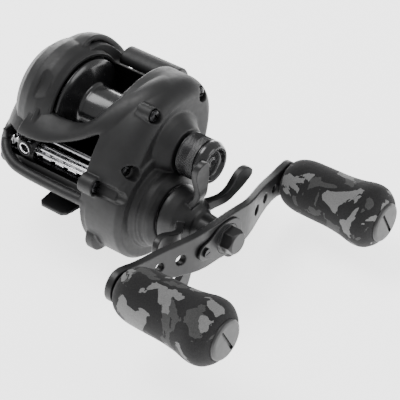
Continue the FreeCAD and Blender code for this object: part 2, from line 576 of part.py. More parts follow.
def one_way_bearing():
    shell = tube(24.8, 33.0, 6.78, 5.5, DRIVE_Y, DRIVE_Z)
    rollers = [cyl(25.4, 32.4, 0.6, y, z) for y, z in around(DRIVE_Y, DRIVE_Z, 4.85, 10)]
    return Part.makeCompound([shell] + rollers)


def bearing_retainer():
    """Push-on ring that closes the roller bearing housing."""
    return tube(33.1, 34.7, 6.75, 4.5, DRIVE_Y, DRIVE_Z)


def spring_washers():
    parts = []
    for x, outward in ((36.3, True), (37.5, False)):
        high, low = (x + 0.5, x) if outward else (x, x + 0.5)
        parts.append(spun([(low, 3.05), (high, 6.0), (high + 0.5, 6.0), (low + 0.5, 3.05)], DRIVE_Y,
                          DRIVE_Z))
    return Part.makeCompound(parts)


# --- star drag --------------------------------------------------------------------------
STAR_ANGLES = [math.radians(20 + 72 * k) for k in range(5)]
STAR_X = 39.2


def star_arm(angle):
    """Paddle arm that rises towards the handle as it runs outwards."""
    width = [(6.0, 2.6), (11.0, 2.1), (17.0, 2.6), (22.5, 3.3), (25.4, 2.4)]
    side = [(r, w) for r, w in width] + [(STAR_R, 0.0)] + [(r, -w) for r, w in reversed(width)]
    curve = Part.BSplineCurve()
    curve.interpolate([V(0, r, w) for r, w in side])
    closing = Part.makeLine(V(0, side[-1][0], side[-1][1]), V(0, side[0][0], side[0][1]))
    plan = Part.Face(Part.Wire([curve.toShape(), closing])).extrude(V(20, 0, 0))
    inner = [V(x, r, -8) for x, r in ((0.8, 5.0), (4.2, 9.5), (6.0, 12.0), (6.6, 20.0), (8.2, STAR_R + 1))]
    outer = [V(x, r, -8) for x, r in ((10.4, STAR_R + 1), (9.0, 20.0), (8.4, 12.0), (6.6, 9.0), (4.4, 5.0))]
    faces = [Part.BSplineCurve(), Part.BSplineCurve()]
    for face, points in zip(faces, (inner, outer)):
        face.interpolate(points)
    edges = [faces[0].toShape(), Part.makeLine(inner[-1], outer[0]), faces[1].toShape(),
             Part.makeLine(outer[-1], inner[0])]
    profile = Part.Face(Part.Wire(edges)).extrude(V(0, 0, 16))
    arm = plan.common(profile)
    arm.rotate(V(0, 0, 0), V(1, 0, 0), math.degrees(angle))
    arm.translate(V(STAR_X, DRIVE_Y, DRIVE_Z))
    return arm


def star_drag():
    hub = spun([(STAR_X, 0), (STAR_X, 6.4), (STAR_X + 1.0, 7.4), (STAR_X + 4.4, 7.2), (STAR_X + 8.6, 5.0),
                (STAR_X + 13.4, 4.6), (STAR_X + 13.4, 0)], DRIVE_Y, DRIVE_Z)
    body = fuse([hub] + [star_arm(a) for a in STAR_ANGLES])
    return body.cut(cyl(30, 60, DRIVE_SHAFT_R + RUN, DRIVE_Y, DRIVE_Z))


# --- handle -----------------------------------------------------------------------------
def along_handle(distance, across=0.0):
    """Point (y, z) at a distance along the handle from its hub."""
    c, s = math.cos(HANDLE_TILT), math.sin(HANDLE_TILT)
    return DRIVE_Y + distance * c - across * s, DRIVE_Z + distance * s + across * c


def handle_plan():
    half = HANDLE_LENGTH / 2
    side = [(0.0, 7.4), (9.0, 7.3), (18.0, 6.5), (28.0, 5.4), (half - 5.5, 5.0), (half - 2.0, 5.6)]
    angles = [math.radians(degrees) for degrees in (70, 35, 0, -35, -70)]
    tip = [(half + 5.8 * math.cos(a), 5.8 * math.sin(a)) for a in angles]
    upper = side + tip + [(d, -w) for d, w in reversed(side[1:])]
    whole = upper + [(-d, -w) for d, w in side + tip] + [(-d, w) for d, w in reversed(side[1:])]
    return [along_handle(d, w) for d, w in whole]


def handle_bend(x_shift):
    """Edge of the bent arm seen from its narrow side: flat hub, swept arms, flat tabs."""
    half = HANDLE_LENGTH / 2
    drop = ARM_HUB_X - ARM_TAB_X
    rear = [(half + 8, 1.0), (half - 3, 1.0), (half - 10, 0.88), (half * 0.5, 0.42), (13.0, 0.05),
            (6.0, 0.0)]
    line = rear + [(0.0, 0.0)] + [(-d, k) for d, k in reversed(rear)]
    curve = Part.BSplineCurve()
    curve.interpolate([V(ARM_HUB_X + x_shift - drop * k, d, -12) for d, k in line])
    return curve.toShape()


def handle_holes():
    half = HANDLE_LENGTH / 2
    return [(half * k, r) for k, r in ((0.80, 1.3), (0.64, 1.7), (0.46, 1.9))]


def handle_arm():
    plan = prism(30, 70, handle_plan())
    inner, outer = handle_bend(0.0), handle_bend(ARM_T)
    ends = [Part.makeLine(inner.Vertexes[k].Point, outer.Vertexes[k].Point) for k in (0, -1)]
    side = Part.Face(Part.Wire(Part.sortEdges([inner, outer] + ends)[0])).extrude(V(0, 0, 24))
    side.rotate(V(0, 0, 0), V(1, 0, 0), math.degrees(HANDLE_TILT))
    side.translate(V(0, DRIVE_Y, DRIVE_Z))
    arm = plan.common(side)
    tools = [box(50, 60, DRIVE_Y - 2.42, DRIVE_Y + 2.42, DRIVE_Z - 1.82, DRIVE_Z + 1.82)]
    for distance, radius in handle_holes():
        tools += [cyl(30, 70, radius, *along_handle(distance)),
                  cyl(30, 70, radius, *along_handle(-distance))]
    for end in (-1, 1):
        spot = along_handle(end * HANDLE_LENGTH / 2)
        tools += [cyl(30, 70, SPINDLE_R, *spot), cyl(30, ARM_TAB_X, 3.7, *spot)]
    return cut(arm, tools)


def handle_nut():
    y, z = DRIVE_Y, DRIVE_Z
    base = ARM_HUB_X + ARM_T
    hexagon = [(y + 4.6 * math.cos(math.pi / 3 * k), z + 4.6 * math.sin(math.pi / 3 * k)) for k in range(6)]
    nut = polygon_prism(base + 0.9, NUT_END_X, hexagon)
    nut = nut.common(spun([(base, 0), (base, 6), (NUT_END_X - 1.6, 5.2), (NUT_END_X, 3.6), (NUT_END_X, 0)],
                          y, z))
    flange = cyl(base, base + 0.9, 5.2, y, z)
    return fuse([nut, flange]).cut(box(50, 59.6, y - 2.42, y + 2.42, z - 1.82, z + 1.82))


RETAINER_SCREW_AT = -11.4


def nut_retainer():
    """Flat keeper plate round the nut, held by a small screw."""
    x0 = ARM_HUB_X + ARM_T
    side = [(7.4, 2.6), (5.2, 5.4), (0.0, 6.6), (-5.4, 5.6), (-10.0, 3.4), (-13.4, 2.4), (-14.6, 0.0)]
    outline = [along_handle(d, w) for d, w in side + [(d, -w) for d, w in reversed(side[:-1])]]
    holes = [cyl(x0 - 1, x0 + 2, 5.25, DRIVE_Y, DRIVE_Z),
             cyl(x0 - 1, x0 + 2, 0.8, *along_handle(RETAINER_SCREW_AT))]
    return cut(prism(x0, x0 + 0.85, outline), holes)


def retainer_screw():
    x0 = ARM_HUB_X + ARM_T
    y, z = along_handle(RETAINER_SCREW_AT)
    body = fuse([cyl(x0 + 0.85, x0 + 1.75, 1.6, y, z), cyl(x0, x0 + 1, 0.8, y, z)])
    return body.cut(box(x0 + 1.2, x0 + 2, y - 1.1, y + 1.1, z - 0.2, z + 0.2))


SPINDLE_R = 2.2
KNOB_X0 = ARM_TAB_X + ARM_T + 0.5


def knob_spindles():
    parts = []
    for end in (-1, 1):
        y, z = along_handle(end * HANDLE_LENGTH / 2)
        head = cyl(ARM_TAB_X - 0.9, ARM_TAB_X, 3.6, y, z)
        parts.append(head.fuse(cyl(ARM_TAB_X - 0.5, KNOB_X0 + 28.0, SPINDLE_R, y, z)))
    return Part.makeCompound(parts)


def knob_grip(end):
    """Foam grip: full shoulder, slight waist and a wide round outer end."""
    y, z = along_handle(end * HANDLE_LENGTH / 2)
    shape = [(0.0, 5.4), (2.2, 7.9), (6.5, 9.2), (13.0, 9.4), (20.0, 9.5), (26.0, 10.1), (31.5, 11.1),
             (35.0, 10.7),
             (37.6, 8.9), (38.6, KNOB_CAP_R + 0.1)]
    return smooth_spun(KNOB_X0 + 38.6, [(KNOB_X0 + x, r) for x, r in shape], 4.6, y, z)


def knob_core(end):
    """Hard inner tube of the knob that turns on the spindle; the foam is bonded on it."""
    y, z = along_handle(end * HANDLE_LENGTH / 2)
    body = cyl(KNOB_X0 - 0.2, KNOB_X0 + 36.4, 4.6, y, z)
    bores = [cyl(KNOB_X0 - 1, KNOB_X0 + 29.0, SPINDLE_R + RUN, y, z),
             cyl(KNOB_X0 + 29.0, KNOB_X0 + 40, 2.4, y, z)]
    return cut(body, bores)


def knob_cap(end):
    """Slotted round cap in the end of the grip."""
    y, z = along_handle(end * HANDLE_LENGTH / 2)
    side = [(36.4, 0), (36.4, 4.55), (38.6, 4.55), (38.62, KNOB_CAP_R - 0.2), (39.0, KNOB_CAP_R),
            (39.5, KNOB_CAP_R - 0.5), (39.9, 0)]
    disc = spun([(KNOB_X0 + x, r) for x, r in side], y, z)
    plug = cyl(KNOB_X0 + 31, KNOB_X0 + 37, 2.38, y, z)
    slot = box(KNOB_X0 + 38.9, KNOB_X0 + 42, y - 0.55, y + 0.55, z - 5.6, z + 5.6)
    slot.rotate(V(KNOB_X0, y, z), V(1, 0, 0), 28)
    return disc.fuse(plug).cut(slot)


# --- level wind -------------------------------------------------------------------------
GUIDE_X = -16.0
GUARD_R = 3.6
SLEEVE_R = GUARD_R + 0.6


def worm_shaft():
    """Worm with its groove stood in by plain rings, and two journals."""
    points = [(WORM_END + 0.1, 0), (WORM_END + 0.1, 1.5), (-24.2, 1.5), (-24.2, WORM_R)]
    for k in range(13):
        x = -22.6 + 2.55 * k
        points += [(x, WORM_R), (x + 0.35, WORM_R - 0.7), (x + 1.0, WORM_R - 0.7), (x + 1.35, WORM_R)]
    points += [(10.6, WORM_R), (10.6, 1.5), (14.4, 1.5), (14.4, 1.2), (16.9, 1.2), (16.9, 0)]
    return spun(points, WORM_Y, WORM_Z)


def worm_bushings():
    return Part.makeCompound([tube(WORM_END + 0.05, OPENING_X + 0.6, 2.38, 1.5 + RUN, WORM_Y, WORM_Z),
                              tube(GEAR_WALL_IN, GEAR_WALL_OUT, 2.98, 1.5 + RUN, WORM_Y, WORM_Z)])


def worm_guard():
    """Polished half tube round the worm, open towards the rear and in a slot at the front."""
    shell = tube(OPENING_X + 0.65, GEAR_WALL_IN - 0.05, GUARD_R, GUARD_R - 0.7, WORM_Y, WORM_Z)
    open_rear = box(-30, 20, WORM_Y + 1.2, WORM_Y + 8, WORM_Z - 8, WORM_Z + 8)
    slot = box(-30, 20, WORM_Y - 8, WORM_Y, WORM_Z - 1.9, WORM_Z + 1.9)
    pawl_slot = box(-30, 20, WORM_Y - 1.1, WORM_Y + 1.1, WORM_Z - 8, WORM_Z)
    ends = [tube(OPENING_X + 0.65, OPENING_X + 1.6, GUARD_R, WORM_R + 0.3, WORM_Y, WORM_Z),
            tube(GEAR_WALL_IN - 0.8, GEAR_WALL_IN - 0.05, GUARD_R, WORM_R + 0.3, WORM_Y, WORM_Z)]
    return fuse([cut(shell, [open_rear, slot, pawl_slot])] + ends)


def guide_rod():
    return cyl(OPENING_X - 0.6, GEAR_WALL_OUT, GUIDE_ROD_R - 0.01, GUIDE_ROD_Y, GUIDE_ROD_Z)


RING_OUT, RING_IN = 2.3, 1.5
RING_Y, RING_Z = -25.4, 16.4
PAWL_BOSS = 1.7


def line_guide():
    """Carriage: sleeve round the guard, a ring holder on two cheeks and a pawl boss below."""
    x0, x1 = GUIDE_X - 3.0, GUIDE_X + 3.0
    sleeve = tube(x0, x1, SLEEVE_R, GUARD_R + 0.12, WORM_Y, WORM_Z)
    pawl_boss = Part.makeCylinder(1.9, PAWL_BOSS + 0.4, V(GUIDE_X, WORM_Y, WORM_Z - GUARD_R - PAWL_BOSS),
                                  V(0, 0, 1))
    ring = Part.makeCylinder(RING_OUT + 0.5, 1.6, V(GUIDE_X, RING_Y - 0.6, RING_Z), V(0, 1, 0))
    cheeks = [box(x, x + 1.0, RING_Y + 0.2, GUIDE_ROD_Y + 1.3, WORM_Z + 2.0, GUIDE_ROD_Z + 1.1)
              for x in (x0, x1 - 1.0)]
    body = fuse([sleeve, pawl_boss, ring] + cheeks)
    tools = [Part.makeCylinder(RING_OUT, 2.2, V(GUIDE_X, RING_Y - 1.1, RING_Z), V(0, 1, 0)),
             Part.makeCylinder(1.9, 9, V(GUIDE_X, RING_Y, RING_Z + 1.0), V(0, 1, 0)),
             cyl(x0 - 1, x1 + 1, GUIDE_ROD_R + 0.08, GUIDE_ROD_Y, GUIDE_ROD_Z),
             cyl(x0 - 1, x1 + 1, GUARD_R + 0.12, WORM_Y, WORM_Z),
             Part.makeCylinder(0.93, 9, V(GUIDE_X, WORM_Y, WORM_Z - 9), V(0, 0, 1))]
    return cut(body, tools)


def line_guide_ring():
    """Bright hard ring in the carriage."""
    middle, wire_r = (RING_OUT + RING_IN) / 2, (RING_OUT - RING_IN) / 2
    return Part.makeTorus(middle, wire_r, V(GUIDE_X, RING_Y, RING_Z), V(0, 1, 0))


def guide_pawl():
    """Pawl whose tip stops just short of the worm."""
    low = WORM_Z - GUARD_R - PAWL_BOSS
    return Part.makeCylinder(0.9, WORM_Z - WORM_R - 0.2 - low, V(GUIDE_X, WORM_Y, low), V(0, 0, 1))


def pawl_cap():
    return Part.makeCylinder(2.2, 0.8, V(GUIDE_X, WORM_Y, WORM_Z - GUARD_R - PAWL_BOSS - 0.8), V(0, 0, 1))


# --- foot -------------------------------------------------------------------------------
def reel_foot():
    """Slightly arched plate, narrower and thinner at its ends; its underside is flat in the middle."""
    half_w, tip_w = FOOT_W / 2, FOOT_TIP_W / 2
    plan = [V(-half_w, -16, -5), V(-tip_w, -FOOT_HALF + 1.5, -5), V(-tip_w + 1.5, -FOOT_HALF, -5),
            V(tip_w - 1.5, -FOOT_HALF, -5), V(tip_w, -FOOT_HALF + 1.5, -5), V(half_w, -16, -5),
            V(half_w, 16, -5),
            V(tip_w, FOOT_HALF - 1.5, -5), V(tip_w - 1.5, FOOT_HALF, -5), V(-tip_w + 1.5, FOOT_HALF, -5),
            V(-tip_w, FOOT_HALF - 1.5, -5), V(-half_w, 16, -5)]
    flat = Part.Face(Part.makePolygon(plan + [plan[0]])).extrude(V(0, 0, 20))
    side = [(-FOOT_HALF, 1.2), (-12, 0), (12, 0), (FOOT_HALF, 1.2), (FOOT_HALF, 2.4), (18, FOOT_T),
            (-18, FOOT_T),
            (-FOOT_HALF, 2.4)]
    body = flat.common(polygon_prism(-10, 10, side))
    holes = [Part.makeCylinder(1.22, 6, V(0, y, -1), V(0, 0, 1)) for y in FOOT_SCREW_Y]
    holes += [Part.makeCone(2.3, 1.2, 1.1, V(0, y, 0), V(0, 0, 1)) for y in FOOT_SCREW_Y]
    return cut(body, holes)


def foot_screws():
    parts = []
    for y in FOOT_SCREW_Y:
        head = Part.makeCone(2.2, 1.1, 1.1, V(0, y, 0.05), V(0, 0, 1))
        body = head.fuse(Part.makeCylinder(1.1, 3.6, V(0, y, 1.1), V(0, 0, 1)))
        parts.append(body.cut(box(-1.6, 1.6, y - 0.25, y + 0.25, -1, 0.6)))
    return Part.makeCompound(parts)


def palm_plate_screw():
    y, z = WALL_SCREWS[0]
    return fuse([cyl(-19.0, -17.62, 2.1, y, z), cyl(-18.4, PALM_WALL_IN + 0.2, 0.98, y, z)])


def gear_plate_screws():
    return Part.makeCompound([screw(x, x - 1.4 - GEAR_WALL_IN - 0.4, y, z, shank_r=0.98) for x, y,
                              z in PLATE_SCREWS])


def pinion_bearing():
    return ball_bearing(25.3, 27.0, 3.98, SHAFT_R + RUN, SPOOL_Y, SPOOL_Z)


def palm_spool_bearing():
    return ball_bearing(-20.9, -18.5, 3.98, SHAFT_R + RUN, SPOOL_Y, SPOOL_Z)


def gear_spool_bearing():
    return ball_bearing(11.8, 13.9, 3.98, SHAFT_R + RUN, SPOOL_Y, SPOOL_Z)


def tension_spacer():
    """Brass disc in the boss that bears on the spool shaft's end."""
    return cyl(31.05, 31.95, 3.4, SPOOL_Y, SPOOL_Z)


# --- output -----------------------------------------------------------------------------
PARTS = {
    "frame": frame, "front_hood": front_hood, "palm_side_plate": palm_side_plate, "brake_dial": brake_dial,
    "magnet_holder": magnet_holder, "brake_magnets": brake_magnets, "gear_side_plate": gear_side_plate,
    "gear_plate_screws": gear_plate_screws, "palm_plate_screw": palm_plate_screw,
    "tension_knob": tension_knob, "tension_spacer": tension_spacer, "spool": spool,
    "spool_shaft": spool_shaft,
    "spool_pin": spool_pin, "brake_rotor": brake_rotor, "palm_spool_bearing": palm_spool_bearing,
    "gear_spool_bearing": gear_spool_bearing, "pinion_bearing": pinion_bearing, "pinion_gear": pinion_gear,
    "pinion_yoke": pinion_yoke, "yoke_posts": yoke_posts, "yoke_springs": yoke_springs,
    "thumb_bar": thumb_bar,
    "clutch_plate": clutch_plate, "drive_shaft": drive_shaft, "drive_bearing": drive_bearing,
    "guide_drive_gear": guide_drive_gear, "worm_gear": worm_gear, "ratchet": ratchet,
    "anti_reverse_pawl": anti_reverse_pawl, "pawl_pin": pawl_pin, "main_gear": main_gear,
    "drag_washers": drag_washers,
    "drag_pressure_plate": drag_pressure_plate, "bearing_sleeve": bearing_sleeve,
    "one_way_bearing": one_way_bearing,
    "bearing_retainer": bearing_retainer, "spring_washers": spring_washers, "star_drag": star_drag,
    "handle_arm": handle_arm, "handle_nut": handle_nut, "nut_retainer": nut_retainer,
    "retainer_screw": retainer_screw,
    "knob_spindles": knob_spindles, "worm_shaft": worm_shaft, "worm_bushings": worm_bushings,
    "worm_guard": worm_guard, "guide_rod": guide_rod, "line_guide": line_guide,
    "line_guide_ring": line_guide_ring,
    "guide_pawl": guide_pawl, "pawl_cap": pawl_cap, "reel_foot": reel_foot, "foot_screws": foot_screws,
}
KNOB_PARTS = {"grip": knob_grip, "core": knob_core, "cap": knob_cap}

for part_name, make in PARTS.items():
    export(part_name, make())
for part_name, make in KNOB_PARTS.items():
    export("front_knob_" + part_name, make(-1))
    export("rear_knob_" + part_name, make(1))
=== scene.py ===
import json
import math

import bmesh
import bpy
from mathutils import Matrix, Vector
from mathutils import noise as solid_noise
from mathutils.bvhtree import BVHTree


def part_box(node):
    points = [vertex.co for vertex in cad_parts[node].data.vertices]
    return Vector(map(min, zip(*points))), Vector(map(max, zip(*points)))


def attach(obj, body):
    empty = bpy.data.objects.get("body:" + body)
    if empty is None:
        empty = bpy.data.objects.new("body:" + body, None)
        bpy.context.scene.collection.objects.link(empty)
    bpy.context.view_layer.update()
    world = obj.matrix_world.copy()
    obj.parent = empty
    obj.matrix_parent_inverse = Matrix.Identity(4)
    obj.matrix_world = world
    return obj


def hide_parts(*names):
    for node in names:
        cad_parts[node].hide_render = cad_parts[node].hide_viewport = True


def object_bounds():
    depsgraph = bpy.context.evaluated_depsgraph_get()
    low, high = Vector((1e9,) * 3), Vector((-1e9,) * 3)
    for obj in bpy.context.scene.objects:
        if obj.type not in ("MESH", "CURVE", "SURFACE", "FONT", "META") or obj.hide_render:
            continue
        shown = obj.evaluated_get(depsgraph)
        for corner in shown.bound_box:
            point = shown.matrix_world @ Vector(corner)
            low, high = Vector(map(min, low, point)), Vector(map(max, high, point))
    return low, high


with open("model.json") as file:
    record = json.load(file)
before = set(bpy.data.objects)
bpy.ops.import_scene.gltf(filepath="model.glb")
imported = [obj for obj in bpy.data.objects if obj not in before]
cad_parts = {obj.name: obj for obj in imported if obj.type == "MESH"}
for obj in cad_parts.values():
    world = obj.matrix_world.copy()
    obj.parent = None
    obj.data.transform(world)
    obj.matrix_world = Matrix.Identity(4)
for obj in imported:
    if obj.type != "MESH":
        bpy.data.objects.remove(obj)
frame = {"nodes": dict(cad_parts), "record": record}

# Low-profile baitcasting reel. Lengths are metres, or millimetres where a name or comment says so.
# X runs from the palm side to the handle, Y to the rear and Z up.
CAD_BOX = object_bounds()
MM = 0.001
# Further out than any housing, distance at which points are welded, softening of the big shells.
FAR = 40 * MM
WELD = 2e-6
SHELL_VOXEL = 0.0003
SHELL_ROUNDS = 6


# --- materials --------------------------------------------------------------------------
def new_material(name):
    """An empty node material: itself, its tree and its shader."""
    material = bpy.data.materials.new(name)
    material.use_nodes = True
    tree = material.node_tree
    shader = tree.nodes["Principled BSDF"]
    return material, tree, shader


def noise(tree, scale, detail=3.0, distortion=0.0, offset=(0, 0, 0), stretch=(1, 1, 1)):
    """Noise in object space; scale is in waves per metre."""
    coords = tree.nodes.new("ShaderNodeTexCoord")
    mapping = tree.nodes.new("ShaderNodeMapping")
    mapping.inputs["Location"].default_value = offset
    mapping.inputs["Scale"].default_value = stretch
    texture = tree.nodes.new("ShaderNodeTexNoise")
    texture.inputs["Scale"].default_value = scale
    texture.inputs["Detail"].default_value = detail
    texture.inputs["Distortion"].default_value = distortion
    tree.links.new(coords.outputs["Object"], mapping.inputs["Vector"])
    tree.links.new(mapping.outputs["Vector"], texture.inputs["Vector"])
    return texture.outputs["Fac"]


def ramp(tree, value, stops, constant=False):
    """Maps a value to colours at the given stops."""
    node = tree.nodes.new("ShaderNodeValToRGB")
    node.color_ramp.interpolation = "CONSTANT" if constant else "LINEAR"
    elements = node.color_ramp.elements
    while len(elements) < len(stops):
        elements.new(0.5)
    for element, (position, colour) in zip(elements, stops):
        element.position = position
        element.color = (*colour, 1.0) if len(colour) == 3 else colour
    tree.links.new(value, node.inputs["Fac"])
    return node.outputs["Color"]


def grey(level):
    return (level, level, level)


def add_bump(tree, shader, value, strength, distance):
    """Fine relief on a surface."""
    bump = tree.nodes.new("ShaderNodeBump")
    bump.inputs["Strength"].default_value = strength
    bump.inputs["Distance"].default_value = distance
    tree.links.new(value, bump.inputs["Height"])
    tree.links.new(bump.outputs["Normal"], shader.inputs["Normal"])


def finish_material(name, colours, roughness, metallic, grain, bump=0.1, depth=0.00002, coat=0.0,
                    coat_roughness=0.1, patch=250, stretch=(1, 1, 1), specular=0.5):
    """A finish with slow colour and gloss variation and a fine grain."""
    material, tree, shader = new_material(name)
    slow = noise(tree, patch, 4.0)
    colour = ramp(tree, slow, [(0.3, colours[0]), (0.7, colours[1])])
    tree.links.new(colour, shader.inputs["Base Color"])
    rough = ramp(tree, noise(tree, patch * 2.3, 5.0, offset=(0.3, 0.1, 0.7)),
                 [(0.3, grey(roughness[0])), (0.7, grey(roughness[1]))])
    tree.links.new(rough, shader.inputs["Roughness"])
    shader.inputs["Metallic"].default_value = metallic
    shader.inputs["Specular IOR Level"].default_value = specular
    shader.inputs["Coat Weight"].default_value = coat
    shader.inputs["Coat Roughness"].default_value = coat_roughness
    add_bump(tree, shader, noise(tree, grain, 2.0, stretch=stretch), bump, depth)
    return material


def dark(low, high, blue=0.0005):
    """Two near-black tones with a touch of blue."""
    return [(low, low, low + blue), (high, high, high + blue)]


MATERIALS = {
    "body_black": finish_material("SoftBlack", dark(0.0065, 0.0095), (0.44, 0.54), 0.0, 5200, 0.16,
                                  specular=0.38),
    "dark_plastic": finish_material("DarkPlastic", dark(0.009, 0.014), (0.42, 0.52), 0.0, 3600, 0.12),
    "black_aluminium": finish_material("BlackAnodised", dark(0.012, 0.019), (0.34, 0.42), 0.35, 6500,
                                       0.10),
    "gloss_aluminium": finish_material("GlossBlack", dark(0.010, 0.016, 0.001), (0.16, 0.22), 0.5, 2500,
                                       0.03, coat=0.8, coat_roughness=0.06),
    "gloss_black_knob": finish_material("GlossKnob", dark(0.009, 0.014, 0.001), (0.20, 0.28), 0.4, 3000,
                                        0.04, coat=0.5, coat_roughness=0.12),
    "black_steel": finish_material("BlackSteel", [(0.012, 0.012, 0.013), (0.03, 0.03, 0.032)],
                                   (0.20, 0.32), 0.8, 4200, 0.08),
    "steel": finish_material("GroundSteel", [(0.42, 0.42, 0.44), (0.55, 0.55, 0.57)], (0.24, 0.34), 1.0,
                             3000, 0.1, stretch=(1, 12, 12)),
    "magnet_steel": finish_material("MagnetPlate", [(0.5, 0.5, 0.52), (0.6, 0.6, 0.62)], (0.15, 0.22),
                                    1.0, 2500),
    "bright_metal": finish_material("PolishedMetal", [(0.62, 0.62, 0.64), (0.74, 0.74, 0.76)],
                                    (0.10, 0.18), 1.0, 2500, 0.04),
    "brass": finish_material("Brass", [(0.55, 0.40, 0.16), (0.66, 0.50, 0.22)], (0.22, 0.32), 1.0, 3000),
    "cap_grey": finish_material("CapGrey", dark(0.018, 0.026), (0.38, 0.48), 0.0, 4200, 0.12),
}

# Foam: size of the printed patches (waves per metre) and where each colour starts.
PALE_PATCH, PALE_START = 102, 0.565
DUSK_PATCH, DUSK_START = 112, 0.575


def camo_foam():
    """Dense foam printed with charcoal, mid-grey and dark-grey patches."""
    material, tree, shader = new_material("CamoFoam")
    patches = noise(tree, PALE_PATCH, 6.0, 0.6, offset=(0.013, 0.031, 0.02))
    second = noise(tree, DUSK_PATCH, 6.0, 0.5, offset=(0.21, 0.12, 0.4))
    light = ramp(tree, patches, [(0.0, grey(0.0)), (PALE_START, grey(1.0))], True)
    dim = ramp(tree, second, [(0.0, grey(0.0)), (DUSK_START, grey(1.0))], True)
    base = ramp(tree, noise(tree, 2600, 3.0),
                [(0.25, (0.007, 0.007, 0.0075)), (0.8, (0.019, 0.0185, 0.019))])
    pale = ramp(tree, noise(tree, 2900, 3.0, offset=(1, 2, 3)), [(0.25, grey(0.12)), (0.8, grey(0.20))])
    dusk = ramp(tree, noise(tree, 2700, 3.0, offset=(4, 2, 3)), [(0.25, grey(0.035)), (0.8, grey(0.06))])
    for factor, colour in ((dim, dusk), (light, pale)):
        mix = tree.nodes.new("ShaderNodeMix")
        mix.data_type = "RGBA"
        tree.links.new(factor, mix.inputs["Factor"])
        tree.links.new(base, mix.inputs["A"])
        tree.links.new(colour, mix.inputs["B"])
        base = mix.outputs["Result"]
    tree.links.new(base, shader.inputs["Base Color"])
    shader.inputs["Roughness"].default_value = 0.88
    shader.inputs["Specular IOR Level"].default_value = 0.25
    shader.inputs["Sheen Weight"].default_value = 0.06
    add_bump(tree, shader, noise(tree, 3200, 4.0), 0.45, 0.00012)
    return material


MATERIALS["foam"] = camo_foam()
SLOT_OF = {row["node"]: row["material_slot"] for row in frame["record"]["subparts"]}
for node, obj in frame["nodes"].items():
    obj.data.materials.clear()
    obj.data.materials.append(MATERIALS[SLOT_OF[node]])
    for polygon in obj.data.polygons:
        polygon.use_smooth = True
    obj.data.set_sharp_from_angle(angle=math.radians(32))


# --- mesh helpers -----------------------------------------------------------------------
BODIES = frame["record"]["behaviour"]["bodies"]
BODY_OF = {node: body for body, nodes in BODIES.items() for node in nodes}


def add_piece(name, mesh, body, slot, sharp=35, material=None):
    """Links a finished mesh as a piece of the object that rides on a body."""
    piece = bpy.data.objects.new(name, mesh)
    bpy.context.scene.collection.objects.link(piece)
    mesh.materials.clear()
    mesh.materials.append(material or MATERIALS[slot])
    for polygon in mesh.polygons:
        polygon.use_smooth = True
    mesh.set_sharp_from_angle(angle=math.radians(sharp))
    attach(piece, body)
    return piece


def stand_in(name, mesh, *nodes, sharp=35, material=None):
    """A finer mesh shown in place of CAD nodes of one body."""
    piece = add_piece(name, mesh, BODY_OF[nodes[0]], SLOT_OF[nodes[0]], sharp, material)
    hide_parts(*nodes)
    return piece


def baked(obj):
    """The object's mesh with its modifiers applied; the object itself is removed."""
    graph = bpy.context.evaluated_depsgraph_get()
    mesh = bpy.data.meshes.new_from_object(obj.evaluated_get(graph))
    bpy.data.objects.remove(obj)
    return mesh


def temporary(mesh):
    """A mesh linked as an object while modifiers work on it."""
    obj = bpy.data.objects.new("work", mesh)
    bpy.context.scene.collection.objects.link(obj)
    return obj


def cad_copy(*nodes):
    """A welded copy of CAD nodes as one mesh."""
    mesh = bpy.data.meshes.new("copy")
    bm = bmesh.new()
    for node in nodes:
        bm.from_mesh(frame["nodes"][node].data)
    bmesh.ops.remove_doubles(bm, verts=bm.verts, dist=WELD)
    bm.to_mesh(mesh)
    bm.free()
    return mesh


def relaxed(mesh, voxel=0, rounds=0, tools=(), unions=()):
    """Joins closed meshes and cuts tools out; a voxel size then rounds every edge like a casting."""
    obj = temporary(mesh)
    helpers = []
    for operation, group in (("UNION", unions), ("DIFFERENCE", tools)):
        for tool in group:
            helper = temporary(tool)
            helper.hide_render = True
            helpers.append(helper)
            boolean = obj.modifiers.new("boolean", "BOOLEAN")
            boolean.operation = operation
            boolean.object = helper
            boolean.solver = "EXACT"
    if voxel:
        remesh = obj.modifiers.new("remesh", "REMESH")
        remesh.mode = "VOXEL"
        remesh.voxel_size = voxel
        smooth = obj.modifiers.new("smooth", "SMOOTH")
        smooth.factor = 0.5
        smooth.iterations = rounds
    bpy.context.view_layer.update()
    mesh = baked(obj)
    for helper in helpers:
        bpy.data.objects.remove(helper)
    return mesh


def softened(name, node, voxel, rounds, tools=(), unions=()):
    """A CAD node shown as a moulded part with rounded edges."""
    return stand_in(name, relaxed(cad_copy(node), voxel, rounds, tools, unions), node, sharp=50)


def rounded(points, radius, steps=5):
    """Open outline with its inner corners rounded by short curves."""
    points = [Vector((a, b, 0)) for a, b in points]
    made = [points[0]]
    for before, corner, after in zip(points, points[1:], points[2:]):
        back, ahead = before - corner, after - corner
        reach = min(radius, back.length * 0.48, ahead.length * 0.48)
        start, end = corner + back.normalized() * reach, corner + ahead.normalized() * reach
        for k in range(steps + 1):
            t = k / steps
            made.append(start * (1 - t) ** 2 + corner * 2 * t * (1 - t) + end * t ** 2)
    made.append(points[-1])
    return [(p.x, p.y) for p in made]


